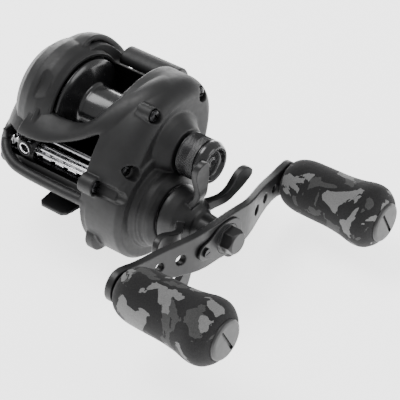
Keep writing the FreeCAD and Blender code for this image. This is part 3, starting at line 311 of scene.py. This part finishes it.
def lathe(outline, centre, segments=128, loop=False, bumps=None):
    """Turned shape about the X axis through centre (y, z); outline is (x, radius)."""
    bm = bmesh.new()
    rings = []
    for x, radius in outline:
        if radius < 1e-7:
            rings.append([bm.verts.new((x, centre[0], centre[1]))])
            continue
        ring = []
        for k in range(segments):
            angle = 2 * math.pi * k / segments
            r = radius + (bumps(x, angle) if bumps else 0.0)
            ring.append(bm.verts.new((x, centre[0] + r * math.cos(angle), centre[1] + r * math.sin(angle))))
        rings.append(ring)
    pairs = list(zip(rings, rings[1:])) + ([(rings[-1], rings[0])] if loop else [])
    for a, b in pairs:
        for k in range(segments):
            j = (k + 1) % segments
            face = [a[k % len(a)], a[j % len(a)], b[j % len(b)], b[k % len(b)]]
            face = [v for n, v in enumerate(face) if v not in face[:n]]
            if len(face) > 2:
                bm.faces.new(face)
    bmesh.ops.recalc_face_normals(bm, faces=bm.faces)
    mesh = bpy.data.meshes.new("turned")
    bm.to_mesh(mesh)
    bm.free()
    return mesh


def tube_along(points, radius, segments=16):
    """Closed round bar through points."""
    bm = bmesh.new()
    rings = []
    points = [Vector(p) for p in points]
    side = None
    for k, point in enumerate(points):
        ahead = points[min(k + 1, len(points) - 1)] - points[max(k - 1, 0)]
        ahead.normalize()
        side = ahead.orthogonal() if side is None else (side - ahead * side.dot(ahead))
        side.normalize()
        other = ahead.cross(side)
        rings.append([bm.verts.new(point + radius * (math.cos(a) * side + math.sin(a) * other))
                      for a in [2 * math.pi * n / segments for n in range(segments)]])
    for a, b in zip(rings, rings[1:]):
        for k in range(segments):
            bm.faces.new((a[k], a[(k + 1) % segments], b[(k + 1) % segments], b[k]))
    bm.faces.new(rings[0])
    bm.faces.new(rings[-1])
    bmesh.ops.recalc_face_normals(bm, faces=bm.faces)
    mesh = bpy.data.meshes.new("bar")
    bm.to_mesh(mesh)
    bm.free()
    return mesh


def block(low, high, turn=None):
    """Box between two corners, as a tool or a filler."""
    bm = bmesh.new()
    bmesh.ops.create_cube(bm, size=1.0)
    low, high = Vector(low), Vector(high)
    for v in bm.verts:
        v.co = Vector([(a + b) / 2 + c * (b - a) for a, b, c in zip(low, high, v.co)])
    if turn:
        bmesh.ops.transform(bm, matrix=turn, verts=bm.verts)
    mesh = bpy.data.meshes.new("block")
    bm.to_mesh(mesh)
    bm.free()
    return mesh


def joined(*meshes):
    """Several meshes kept apart in one."""
    bm = bmesh.new()
    for mesh in meshes:
        bm.from_mesh(mesh)
    made = bpy.data.meshes.new("joined")
    bm.to_mesh(made)
    bm.free()
    return made


def turn_about(point, angle):
    """Rotation about an axis along +X through point (y, z)."""
    place = Vector((0, point[0], point[1]))
    return Matrix.Translation(place) @ Matrix.Rotation(angle, 4, "X") @ Matrix.Translation(-place)


def axis_of(node):
    """Centre (y, z) of a node that is turned about an axis along X."""
    low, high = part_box(node)
    return (low.y + high.y) / 2, (low.z + high.z) / 2


def turned(outline, centre, segments=160, bumps=None):
    """Closed ring about the X axis; outline is (x, radius) in millimetres."""
    return lathe([(x * MM, r * MM) for x, r in outline], centre, segments, loop=True, bumps=bumps)


def curve_through(points, steps):
    """Catmull-Rom curve in space."""
    points = [Vector(p) for p in points]
    ends = [2 * points[0] - points[1]] + points + [2 * points[-1] - points[-2]]
    made = []
    for p0, p1, p2, p3 in zip(ends, ends[1:], ends[2:], ends[3:]):
        for k in range(steps):
            t = k / steps
            made.append(0.5 * (2 * p1 + (p2 - p0) * t + (2 * p0 - 5 * p1 + 4 * p2 - p3) * t ** 2
                               + (3 * p1 - p0 - 3 * p2 + p3) * t ** 3))
    return made + [points[-1]]


# --- knobs ------------------------------------------------------------------------------
# Grip outline: share of its length, share of its largest radius.
GRIP_SIDE = [(0.0, 0.45), (0.012, 0.56), (0.06, 0.715), (0.165, 0.825), (0.34, 0.848), (0.52, 0.856),
             (0.67, 0.905), (0.81, 0.995), (0.90, 0.965), (0.965, 0.82), (0.992, 0.70), (1.0, 0.645)]
CORE_R = 4.62 * MM
CORE_STEPS = 12
LUMP = 0.04 * MM
LUMPS_PER_M = 900


def grip(end):
    """Foam grip with faint lumps on a straight bore."""
    node = end + "_knob_grip"
    low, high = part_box(node)
    length, radius = high.x - low.x, (high.y - low.y) / 2 - 0.05 * MM
    side = curve_through([(low.x + s * length, r * radius, 0) for s, r in GRIP_SIDE], 7)
    outer = [(p.x, p.y) for p in side]
    inner = [(high.x - k * length / CORE_STEPS, CORE_R) for k in range(CORE_STEPS + 1)]

    def lumps(x, angle):
        if (x, CORE_R) in inner:
            return 0.0
        spot = Vector((x, radius * math.cos(angle), radius * math.sin(angle)))
        return LUMP * solid_noise.noise(spot * LUMPS_PER_M)
    mesh = lathe(outer + inner, axis_of(node), 160, loop=True, bumps=lumps)
    piece = stand_in(node + "_foam", mesh, node, sharp=60)


BORE_R = 2.38 * MM
NECK_R = 4.5 * MM
COIN_SLOT = (1.1 * MM, 10.8 * MM)


def cap(end):
    """Slotted disc that closes a grip."""
    node = end + "_knob_cap"
    low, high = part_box(node)
    y, z = axis_of(node)
    radius = (high.y - low.y) / 2
    top = high.x
    outline = rounded([(low.x, 0), (low.x, BORE_R), (top - 3.4 * MM, BORE_R), (top - 3.4 * MM, NECK_R),
                       (top - 1.3 * MM, NECK_R), (top - 1.3 * MM, radius),
                       (top - 0.35 * MM, radius - 0.15 * MM), (top - 0.02 * MM, radius - 1.1 * MM),
                       (top, 0)], 0.35 * MM)
    half_width, half_length = COIN_SLOT[0] / 2, COIN_SLOT[1] / 2
    slot = block((top - 0.8 * MM, y - half_width, z - half_length),
                 (top + MM, y + half_width, z + half_length), turn_about((y, z), math.radians(28)))
    stand_in(node + "_disc", relaxed(lathe(outline, (y, z), 96), tools=[slot]), node)


# --- spool and tension knob -------------------------------------------------------------
def spool():
    """Spool with two dished flanges on its hub."""
    low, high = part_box("spool")
    half, flange = (high.x - low.x) / 2, (high.y - low.y) / 2
    side = [(half, 1.4 * MM), (half, 5 * MM), (7.6 * MM, 6 * MM), (7.6 * MM, 8 * MM), (9.6 * MM, 14.8 * MM),
            (half, flange - 0.6 * MM), (half, flange), (9.9 * MM, flange), (9.0 * MM, 15.2 * MM),
            (7.0 * MM, 9.6 * MM), (6.2 * MM, 9.0 * MM)]
    outline = [(-x, r) for x, r in side] + [(x, r) for x, r in reversed(side)]
    centre_x = (low.x + high.x) / 2
    outline = [(centre_x + x, r) for x, r in outline]
    mesh = lathe(rounded(outline, 0.5 * MM, 4), axis_of("spool"), 160, loop=True)
    stand_in("spool_body", mesh, "spool", material=MATERIALS["gloss_black_knob"])


KNURL_PITCH = 0.62 * MM
KNURL_DEPTH = 0.34 * MM
KNURL_REST = 0.72
BOSS_R = 5.63 * MM


def tension_knob():
    """Knob with a diamond-knurled band and a dished face."""
    low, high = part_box("tension_knob")
    radius = (high.y - low.y) / 2
    base, face = low.x, high.x
    band_start, band_end = base + 1.0 * MM, base + 7.4 * MM
    rings = int((band_end - band_start) / (KNURL_PITCH / 4))
    band = [(band_start + (band_end - band_start) * k / rings, radius - 0.1 * MM) for k in range(rings + 1)]
    around = round(2 * math.pi * radius / KNURL_PITCH)

    def knurl(x, angle):
        if not band_start + 0.01 * MM < x < band_end - 0.01 * MM:
            return 0.0
        u, v = angle * around / (2 * math.pi), (x - band_start) / KNURL_PITCH
        a, b = abs((u + v) % 1 - 0.5) * 2, abs((u - v) % 1 - 0.5) * 2
        return KNURL_DEPTH * (min(a, b) - KNURL_REST)
    back = rounded([(base + 5.2 * MM, 0), (base + 5.2 * MM, BOSS_R), (base, BOSS_R),
                    (base, radius - 0.7 * MM), (band_start - 0.35 * MM, radius),
                    (band_start - 0.1 * MM, radius)], 0.25 * MM, 3)
    front = rounded([(band_end + 0.15 * MM, radius - 0.45 * MM), (band_end + 0.55 * MM, radius - 0.45 * MM),
                     (band_end + 0.7 * MM, radius), (face - 2.1 * MM, radius),
                     (face - 0.35 * MM, radius - 1.0 * MM), (face, radius - 1.7 * MM),
                     (face - 0.1 * MM, radius - 2.2 * MM), (face - 1.5 * MM, radius - 2.9 * MM),
                     (face - 1.7 * MM, 2.2 * MM), (face - 1.2 * MM, 1.6 * MM), (face - 1.2 * MM, 0)],
                    0.4 * MM, 4)
    mesh = lathe(back + band + front, axis_of("tension_spacer"), 4 * around, bumps=knurl)
    stand_in("tension_knob_body", mesh, "tension_knob", sharp=60, material=MATERIALS["gloss_black_knob"])


# --- screws -----------------------------------------------------------------------------
def islands(node):
    """Boxes of the separate solids in a CAD node, ordered by height."""
    bm = bmesh.new()
    bm.from_mesh(frame["nodes"][node].data)
    bmesh.ops.remove_doubles(bm, verts=bm.verts, dist=WELD)
    seen, found = set(), []
    for start in bm.verts:
        if start in seen:
            continue
        stack, members = [start], []
        seen.add(start)
        while stack:
            v = stack.pop()
            members.append(v.co.copy())
            for edge in v.link_edges:
                other = edge.other_vert(v)
                if other not in seen:
                    seen.add(other)
                    stack.append(other)
        found.append((Vector([min(c[k] for c in members) for k in range(3)]),
                      Vector([max(c[k] for c in members) for k in range(3)])))
    bm.free()
    return sorted(found, key=lambda box: -box[1].z)


SKIN_RAYS = 12
SKIN_REACH = 3.1 * MM
LEAST_RISE, MOST_RISE = 0.6 * MM, 5 * MM
RECESS = (0.6 * MM, 2.5 * MM, 0.8 * MM)


def screw_rise(y, z, top):
    """How far a screw's head reaches above its CAD height to end just under the skin around it."""
    tree = BVHTree.FromObject(frame["nodes"]["gear_side_plate"], bpy.context.evaluated_depsgraph_get())
    heights = []
    for k in range(SKIN_RAYS):
        angle = 2 * math.pi * k / SKIN_RAYS
        start = Vector((60 * MM, y + SKIN_REACH * math.cos(angle), z + SKIN_REACH * math.sin(angle)))
        hit = tree.ray_cast(start, Vector((-1, 0, 0)))[0]
        if hit:
            heights.append(hit.x)
    heights.sort()
    return max(LEAST_RISE, min(heights[len(heights) // 3] - top, MOST_RISE))


def cross_screw(low, high, turn):
    """Pan head with a cross recess on a plain shank, pointing along +X."""
    y, z = (low.y + high.y) / 2, (low.z + high.z) / 2
    radius = (high.y - low.y) / 2
    top = high.x + screw_rise(y, z, high.x)
    head = high.x - 1.4 * MM
    outline = rounded([(low.x, 0), (low.x, radius * 0.45), (head, radius * 0.45), (head, radius),
                       (top - 0.5 * MM, radius), (top - 0.1 * MM, radius * 0.62), (top, 0)], 0.4 * MM, 4)
    width, length, depth = RECESS
    cutters = []
    for k in (0, 1):
        cutters.append(block((top - depth, y - width / 2, z - length / 2),
                             (top + MM, y + width / 2, z + length / 2),
                             turn_about((y, z), turn + k * math.pi / 2)))
    return relaxed(lathe(outline, (y, z), 48), tools=cutters)


def plate_screws():
    """The gear plate's screws, each turned differently."""
    boxes = enumerate(islands("gear_plate_screws"))
    made = [cross_screw(low, high, 0.5 + 0.7 * k) for k, (low, high) in boxes]
    stand_in("gear_plate_screw_set", joined(*made), "gear_plate_screws")


# --- level wind -------------------------------------------------------------------------
WORM_PITCH = 5.6 * MM
GROOVE_DEPTH = 0.75 * MM
JOURNAL_R = 1.5 * MM
STUB_R = 1.2 * MM
THREAD_STEPS = 200


def worm():
    """Reversing worm: two crossed helical grooves."""
    low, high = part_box("worm_shaft")
    radius = (high.y - low.y) / 2
    start, end = low.x + 2.8 * MM, high.x - 6.5 * MM

    def groove(x, angle):
        if not start < x < end:
            return 0.0
        edge = min(1.0, (x - start) / MM, (end - x) / MM)
        phase = x / WORM_PITCH
        turn = angle / (2 * math.pi)
        near = min(abs((phase + turn) % 1 - 0.5), abs((phase - turn) % 1 - 0.5))
        return -GROOVE_DEPTH * edge * max(0.0, min(1.0, (0.17 - near) / 0.05))
    thread = [(start - 0.3 * MM + (end - start + 0.6 * MM) * k / THREAD_STEPS, radius)
              for k in range(THREAD_STEPS + 1)]
    outline = [(low.x, 0), (low.x, JOURNAL_R), (start - 0.4 * MM, JOURNAL_R)] + thread
    outline += [(end + 0.4 * MM, JOURNAL_R), (high.x - 2.5 * MM, JOURNAL_R), (high.x - 2.5 * MM, STUB_R),
                (high.x, STUB_R), (high.x, 0)]
    mesh = lathe(outline, axis_of("worm_shaft"), 72, bumps=groove)
    stand_in("worm_thread", mesh, "worm_shaft", sharp=40)


def guide_ring():
    """Bright ring of the line guide."""
    low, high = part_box("line_guide_ring")
    wire = (high.y - low.y) / 2
    bpy.ops.mesh.primitive_torus_add(location=(0, 0, 0), rotation=(0, 0, 0), major_segments=72,
                                     minor_segments=20, major_radius=(high.x - low.x) / 2 - wire,
                                     minor_radius=wire)
    ring = bpy.context.object
    mesh = ring.data.copy()
    mesh.transform(Matrix.Translation((low + high) / 2) @ Matrix.Rotation(math.pi / 2, 4, "X"))
    bpy.data.objects.remove(ring)
    stand_in("line_guide_eye", mesh, "line_guide_ring")


# --- shells -----------------------------------------------------------------------------
# Outlines as (x, radius) in millimetres about the spool axis; angles in degrees.
SURROUND_OUTER = [(-11.4, 18.0), (-11.4, 18.9), (-13.0, 20.0), (-16.0, 20.9), (-20.0, 20.9), (-24.0, 19.6),
                  (-27.5, 16.6)]
SURROUND_INNER = [(-27.0, 14.6), (-23.5, 17.4), (-20.0, 18.6), (-16.0, 18.6)]
SURROUND_LOW, SURROUND_REAR = -1.5 * MM, 12.0 * MM
RECESS_OUTLINE = [(-13.4, 19.5), (-13.0, 24.0), (-19.0, 24.0), (-17.6, 19.5)]
RECESS_START, RECESS_SPAN = 112, 48
RECESS_DEPTH = 3.4 * MM


def window_surround():
    """Bowed skin round the palm side of the spool window, with a long recess beside the window ring."""
    y, z = axis_of("spool")
    ends = [block((-FAR, y - FAR, z - FAR), (FAR, y + FAR, z + SURROUND_LOW)),
            block((-FAR, y + SURROUND_REAR, z - FAR), (FAR, y + FAR, z + FAR))]
    skin = relaxed(turned(SURROUND_OUTER + SURROUND_INNER, (y, z)), tools=ends)

    def taper(x, angle):
        share = (math.degrees(angle) - RECESS_START) / RECESS_SPAN
        return RECESS_DEPTH * (1 - math.sin(math.pi * share)) if 0 < share < 1 else RECESS_DEPTH
    return relaxed(skin, tools=[turned(RECESS_OUTLINE, (y, z), bumps=taper)])


def dial_seat():
    """Bore that keeps the softened shell clear of the brake dial."""
    low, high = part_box("brake_dial")
    radius = (high.y - low.y) / 2 + 0.6 * MM
    floor = low.x + 2.1 * MM
    outline = [(low.x - 2 * MM, 0), (low.x - 2 * MM, radius), (floor, radius), (floor, 0)]
    return lathe(outline, axis_of("spool"), 96)


def window_ring():
    """Turned ring that hugs the spool flange, with two fine steps."""
    outline = [(-12.6, 17.5), (-11.05, 17.5), (-10.95, 17.6), (-10.95, 17.9), (-11.15, 18.0),
               (-11.15, 18.15), (-10.95, 18.25), (-11.0, 18.5), (-11.3, 18.8), (-12.6, 19.2)]
    add_piece("window_ring", turned(outline, axis_of("spool")), "reel_body", "body_black", sharp=40)


def rear_skirt():
    """Curved wall behind the spool, between the palm wall and the gear wall."""
    y, z = axis_of("spool")
    wall = turned([(-12.5, 17.5), (11.8, 17.5), (11.8, 18.4), (-12.5, 18.4)], (y, z))
    return relaxed(wall, tools=[block((-FAR, y - FAR, z - FAR), (FAR, y + 10 * MM, z + FAR)),
                                block((-FAR, y, z + 10 * MM), (FAR, y + FAR, z + FAR))])


# Window edge and lower rim of the hood in millimetres, from the palm side to the gear side.
HOOD_EDGE = [(-17, -15.6, 29.6), (-12, -16.6, 28.4), (-8, -17.1, 28.0), (-4, -17.0, 28.3),
             (0, -16.8, 28.9), (3.5, -16.2, 30.4), (6.6, -14.9, 32.7), (8.9, -12.5, 35.6),
             (11.4, -7.2, 38.9), (13.4, -3.0, 40.2), (14.6, 3.0, 41.0), (15.6, 9.0, 40.6),
             (16.4, 15.0, 38.0)]
HOOD_RIM = [(-20, -25.0, 20.6), (-14, -25.6, 21.3), (-9.5, -25.6, 22.0), (-4.5, -24.6, 23.0),
            (-0.9, -23.4, 24.2), (3, -22.2, 25.7), (6.4, -21.0, 27.4), (10, -19.2, 29.6),
            (13.4, -17.3, 31.6), (17.0, -12.5, 35.6), (20.4, -6.0, 39.4), (23.4, 1.0, 40.4),
            (25.0, 8.0, 39.4)]
HOOD_BULGE = 2.2
HOOD_THICK = 1.5
HOOD_STRIPS = 14


def hood_sweep():
    """Rounded band that sweeps over the level wind and runs up onto the gear side."""
    edge, rim = curve_through(HOOD_EDGE, 6), curve_through(HOOD_RIM, 6)
    y, z = axis_of("spool")
    bm = bmesh.new()
    rows = []
    for n, (a, b) in enumerate(zip(edge, rim)):
        bulge = HOOD_BULGE * (1.0 - 0.5 * n / len(edge))
        row = []
        for depth in (0.0, HOOD_THICK):
            line = []
            for k in range(HOOD_STRIPS + 1):
                share = k / HOOD_STRIPS
                spot = a.lerp(b, share)
                out = Vector((0, spot.y - y / MM, spot.z - z / MM)).normalized()
                rise = bulge * math.sin(math.pi * share) ** 0.8
                line.append((spot + out * (rise - depth)) * MM)
            row += line if depth == 0.0 else line[::-1]
        rows.append([bm.verts.new(p) for p in row])
    count = len(rows[0])
    for first, second in zip(rows, rows[1:]):
        for k in range(count):
            bm.faces.new((first[k], first[(k + 1) % count], second[(k + 1) % count], second[k]))
    bm.faces.new(rows[0][::-1])
    bm.faces.new(rows[-1])
    bmesh.ops.recalc_face_normals(bm, faces=bm.faces)
    mesh = bpy.data.meshes.new("hood")
    bm.to_mesh(mesh)
    bm.free()
    return mesh


def dome_ring():
    """Bevelled ring round the drive dome with a fine turned step."""
    outline = [(29.0, 9.2), (29.0, 13.6), (33.2, 13.4), (33.6, 12.8), (34.0, 12.8), (35.3, 10.4),
               (35.3, 9.2)]
    return turned(outline, axis_of("spring_washers"), 128)


def drive_wall():
    """Front wall of the gear room, round about the drive axis."""
    y, z = axis_of("spring_washers")
    ring = turned([(15, 18.4), (24.4, 18.4), (24.4, 19.5), (15, 19.5)], (y, z), 128)
    return relaxed(ring, tools=[block((0, y - 7 * MM, z - FAR), (FAR, y + FAR, z + FAR))])


def palm_hood():
    """The part of the hood that lies on the palm half."""
    gear_half = block((-14.0 * MM, -50 * MM, 0), (30 * MM, 50 * MM, 60 * MM))
    return relaxed(cad_copy("front_hood"), tools=[gear_half])


# Centre line of the lower lip in millimetres, from the gear side round the open end.
LIP_PATH = [(12.5, -28.3, 9.2), (4, -28.6, 9.2), (-6, -28.8, 9.5), (-13, -28.9, 9.9), (-18.5, -28.6, 10.8),
            (-23.5, -26.4, 12.2), (-27.0, -22.6, 13.8), (-29.2, -17.5, 15.6), (-29.8, -12.0, 17.4)]
LIP_R = 1.9 * MM


def curled_lip():
    """Lower lip carried round the open end of the level-wind room."""
    return tube_along([p * MM for p in curve_through(LIP_PATH, 6)], LIP_R, 24)


def corner_filler():
    """Small solid that closes the corner between the rear skirt and the palm wall."""
    return block((-14.4 * MM, 16 * MM, 30 * MM), (-11.9 * MM, 20 * MM, 33 * MM))


GROOVE_STEPS = 24
GROOVE_START, GROOVE_SPAN = 62, 150
GROOVE_R = 0.75 * MM


def collar_groove():
    """Curved groove that spirals outward round the collar of the tension knob."""
    y, z = axis_of("spool")
    points = []
    for k in range(GROOVE_STEPS + 1):
        share = k / GROOVE_STEPS
        angle = math.radians(GROOVE_START + GROOVE_SPAN * k / GROOVE_STEPS)
        radius = (13.4 + 2.6 * share ** 2) * MM
        points.append(Vector((26.2 * MM - 3.2 * MM * share ** 2, y + radius * math.cos(angle),
                              z + radius * math.sin(angle))))
    return tube_along(points, GROOVE_R, 12)


SEAT_R, SEAT_BORE_R = 2.8 * MM, 2.4 * MM


def screw_seats():
    """Round sockets that carry the gear plate's screws."""
    seats = []
    for low, high in islands("gear_plate_screws"):
        y, z = (low.y + high.y) / 2, (low.z + high.z) / 2
        floor, rim = high.x - 1.45 * MM, high.x + screw_rise(y, z, high.x) - 1.0 * MM
        seats.append(lathe([(floor - 1.2 * MM, 0), (floor - 1.2 * MM, SEAT_R), (rim, SEAT_R),
                            (rim, SEAT_BORE_R), (floor, SEAT_BORE_R), (floor, 0)], (y, z), 48))
    return seats


BAR_ANGLES = (88, 118, 148)
BAR_CIRCLE_R = 3.05 * MM
BAR_R = 0.5 * MM


def guard_bars():
    """Three bright bars of the worm guard over a dark cradle. The bars stop at the line guide, so at the
    palm end the dark cradle alone shows as painted shade.
    """
    low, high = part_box("worm_guard")
    y, z = axis_of("worm_guard")
    bars = []
    for degrees in BAR_ANGLES:
        angle = math.radians(degrees)
        spot = Vector((0, y + BAR_CIRCLE_R * math.cos(angle), z + BAR_CIRCLE_R * math.sin(angle)))
        # The bars begin at the line guide. Past it only the dark cradle shows, as painted shade where that
        # end lies in shadow.
        ends = [spot + Vector((x, 0, 0)) for x in (-12.5 * MM, high.x - 0.1 * MM)]
        bars.append(tube_along(ends, BAR_R, 14))
    cradle = lathe([(low.x, 2.75 * MM), (high.x, 2.75 * MM), (high.x, 3.45 * MM), (low.x, 3.45 * MM)],
                   (y, z), 64, loop=True)
    open_top = block((-0.1, -0.1, z - 0.6 * MM), (0.1, 0.1, 0.1))
    stand_in("worm_guard_bars", joined(*bars), "worm_guard", sharp=40)
    add_piece("worm_cradle", relaxed(cradle, tools=[open_top]), "reel_body", "black_steel", sharp=40)


def star_dome():
    """Smooth cone on the inner side of the star wheel, over the spring washers."""
    outline = [(36.1, 6.6), (36.1, 10.2), (36.6, 10.5), (38.0, 10.3), (41.0, 9.4), (44.0, 7.8), (46.5, 6.0),
               (46.5, 4.6), (39.6, 4.6), (39.6, 6.6)]
    return turned(outline, axis_of("spring_washers"), 128)


def body_shell():
    """Frame, hood and gear side plate shown as one softened casting."""
    unions = [palm_hood(), hood_sweep(), dome_ring(), drive_wall(), rear_skirt(), curled_lip(),
              *screw_seats(), corner_filler()]
    solid = relaxed(cad_copy("frame", "gear_side_plate"), unions=unions)
    skin = relaxed(solid, SHELL_VOXEL, SHELL_ROUNDS, tools=[collar_groove()])
    stand_in("body_shell", skin, "frame", "front_hood", "gear_side_plate", sharp=50)


# --- build ------------------------------------------------------------------------------
for end in ("front", "rear"):
    grip(end)
    cap(end)
spool()
tension_knob()
plate_screws()
worm()
guide_ring()
softened("star_wheel", "star_drag", 0.00022, 5, unions=[star_dome()])
softened("crank_arm", "handle_arm", 0.00025, 4)
softened("crank_nut", "handle_nut", 0.00016, 3)
softened("nut_keeper", "nut_retainer", 0.00018, 3)
softened("palm_shell", "palm_side_plate", SHELL_VOXEL, SHELL_ROUNDS, tools=[dial_seat()],
         unions=[window_surround()])
body_shell()
window_ring()
guard_bars()
softened("thumb_pad", "thumb_bar", 0.00025, 5)
softened("foot_plate", "reel_foot", 0.00025, 4)


# --- stage, lights, camera --------------------------------------------------------------
FLOOR_GLOW = 2.2
WORLD_GLOW = 0.75


def stage():
    """Plain pale floor just under the reel, in even light."""
    bpy.ops.mesh.primitive_plane_add(size=4.0, location=(0, 0, CAD_BOX[0].z - 0.0006))
    floor = bpy.context.object
    floor.name = "floor"
    material, tree, shader = new_material("PaleFloor")
    tint = ramp(tree, noise(tree, 8, 2.0), [(0.3, grey(0.86)), (0.7, grey(0.88))])
    tree.links.new(tint, shader.inputs["Base Color"])
    shader.inputs["Roughness"].default_value = 0.9
    shader.inputs["Emission Color"].default_value = (1, 1, 1, 1)
    shader.inputs["Emission Strength"].default_value = FLOOR_GLOW
    floor.data.materials.append(material)
    world = bpy.data.worlds.new("Studio")
    world.use_nodes = True
    background = world.node_tree.nodes["Background"]
    background.inputs["Color"].default_value = (1, 1, 1, 1)
    background.inputs["Strength"].default_value = WORLD_GLOW
    bpy.context.scene.world = world


AZIMUTH, ELEVATION = math.radians(37.8), math.radians(38.2)
RIGHT = Vector((math.cos(AZIMUTH), math.sin(AZIMUTH), 0))
FORWARD = Vector((-math.sin(AZIMUTH) * math.cos(ELEVATION), math.cos(AZIMUTH) * math.cos(ELEVATION),
                  -math.sin(ELEVATION)))
UP = Vector((-math.sin(AZIMUTH) * math.sin(ELEVATION), math.cos(AZIMUTH) * math.sin(ELEVATION),
             math.cos(ELEVATION)))
TARGET = Vector((0.025, -0.005, 0.012)) + 0.0135 * RIGHT - 0.00833 * UP
DISTANCE = 0.6


def camera():
    """Long lens that looks down on the handle side."""
    data = bpy.data.cameras.new("Camera")
    data.lens = 163.1
    data.sensor_width = 36.0
    data.clip_start, data.clip_end = 0.01, 20
    cam = bpy.data.objects.new("Camera", data)
    bpy.context.scene.collection.objects.link(cam)
    matrix = Matrix((RIGHT, UP, -FORWARD)).transposed().to_4x4()
    matrix.translation = TARGET - DISTANCE * FORWARD
    cam.matrix_world = matrix
    bpy.context.scene.camera = cam


def area_light(name, place, size, power):
    """Soft light; place is metres right, up and towards the viewer from the target."""
    data = bpy.data.lights.new(name, "AREA")
    data.shape = "RECTANGLE"
    data.size, data.size_y = size
    data.energy = power
    light = bpy.data.objects.new(name, data)
    bpy.context.scene.collection.objects.link(light)
    light.location = TARGET + place[0] * RIGHT + place[1] * UP - place[2] * FORWARD
    light.rotation_mode = "QUATERNION"
    light.rotation_quaternion = (TARGET - light.location).to_track_quat("-Z", "Y")


stage()
camera()
area_light("key_light", (-0.35, 0.75, 0.35), (0.5, 0.35), 5.0)
area_light("fill_light", (0.8, 0.25, 0.45), (0.5, 0.5), 3.0)
area_light("rim_light", (-0.2, 0.6, -0.6), (0.7, 0.3), 5.0)
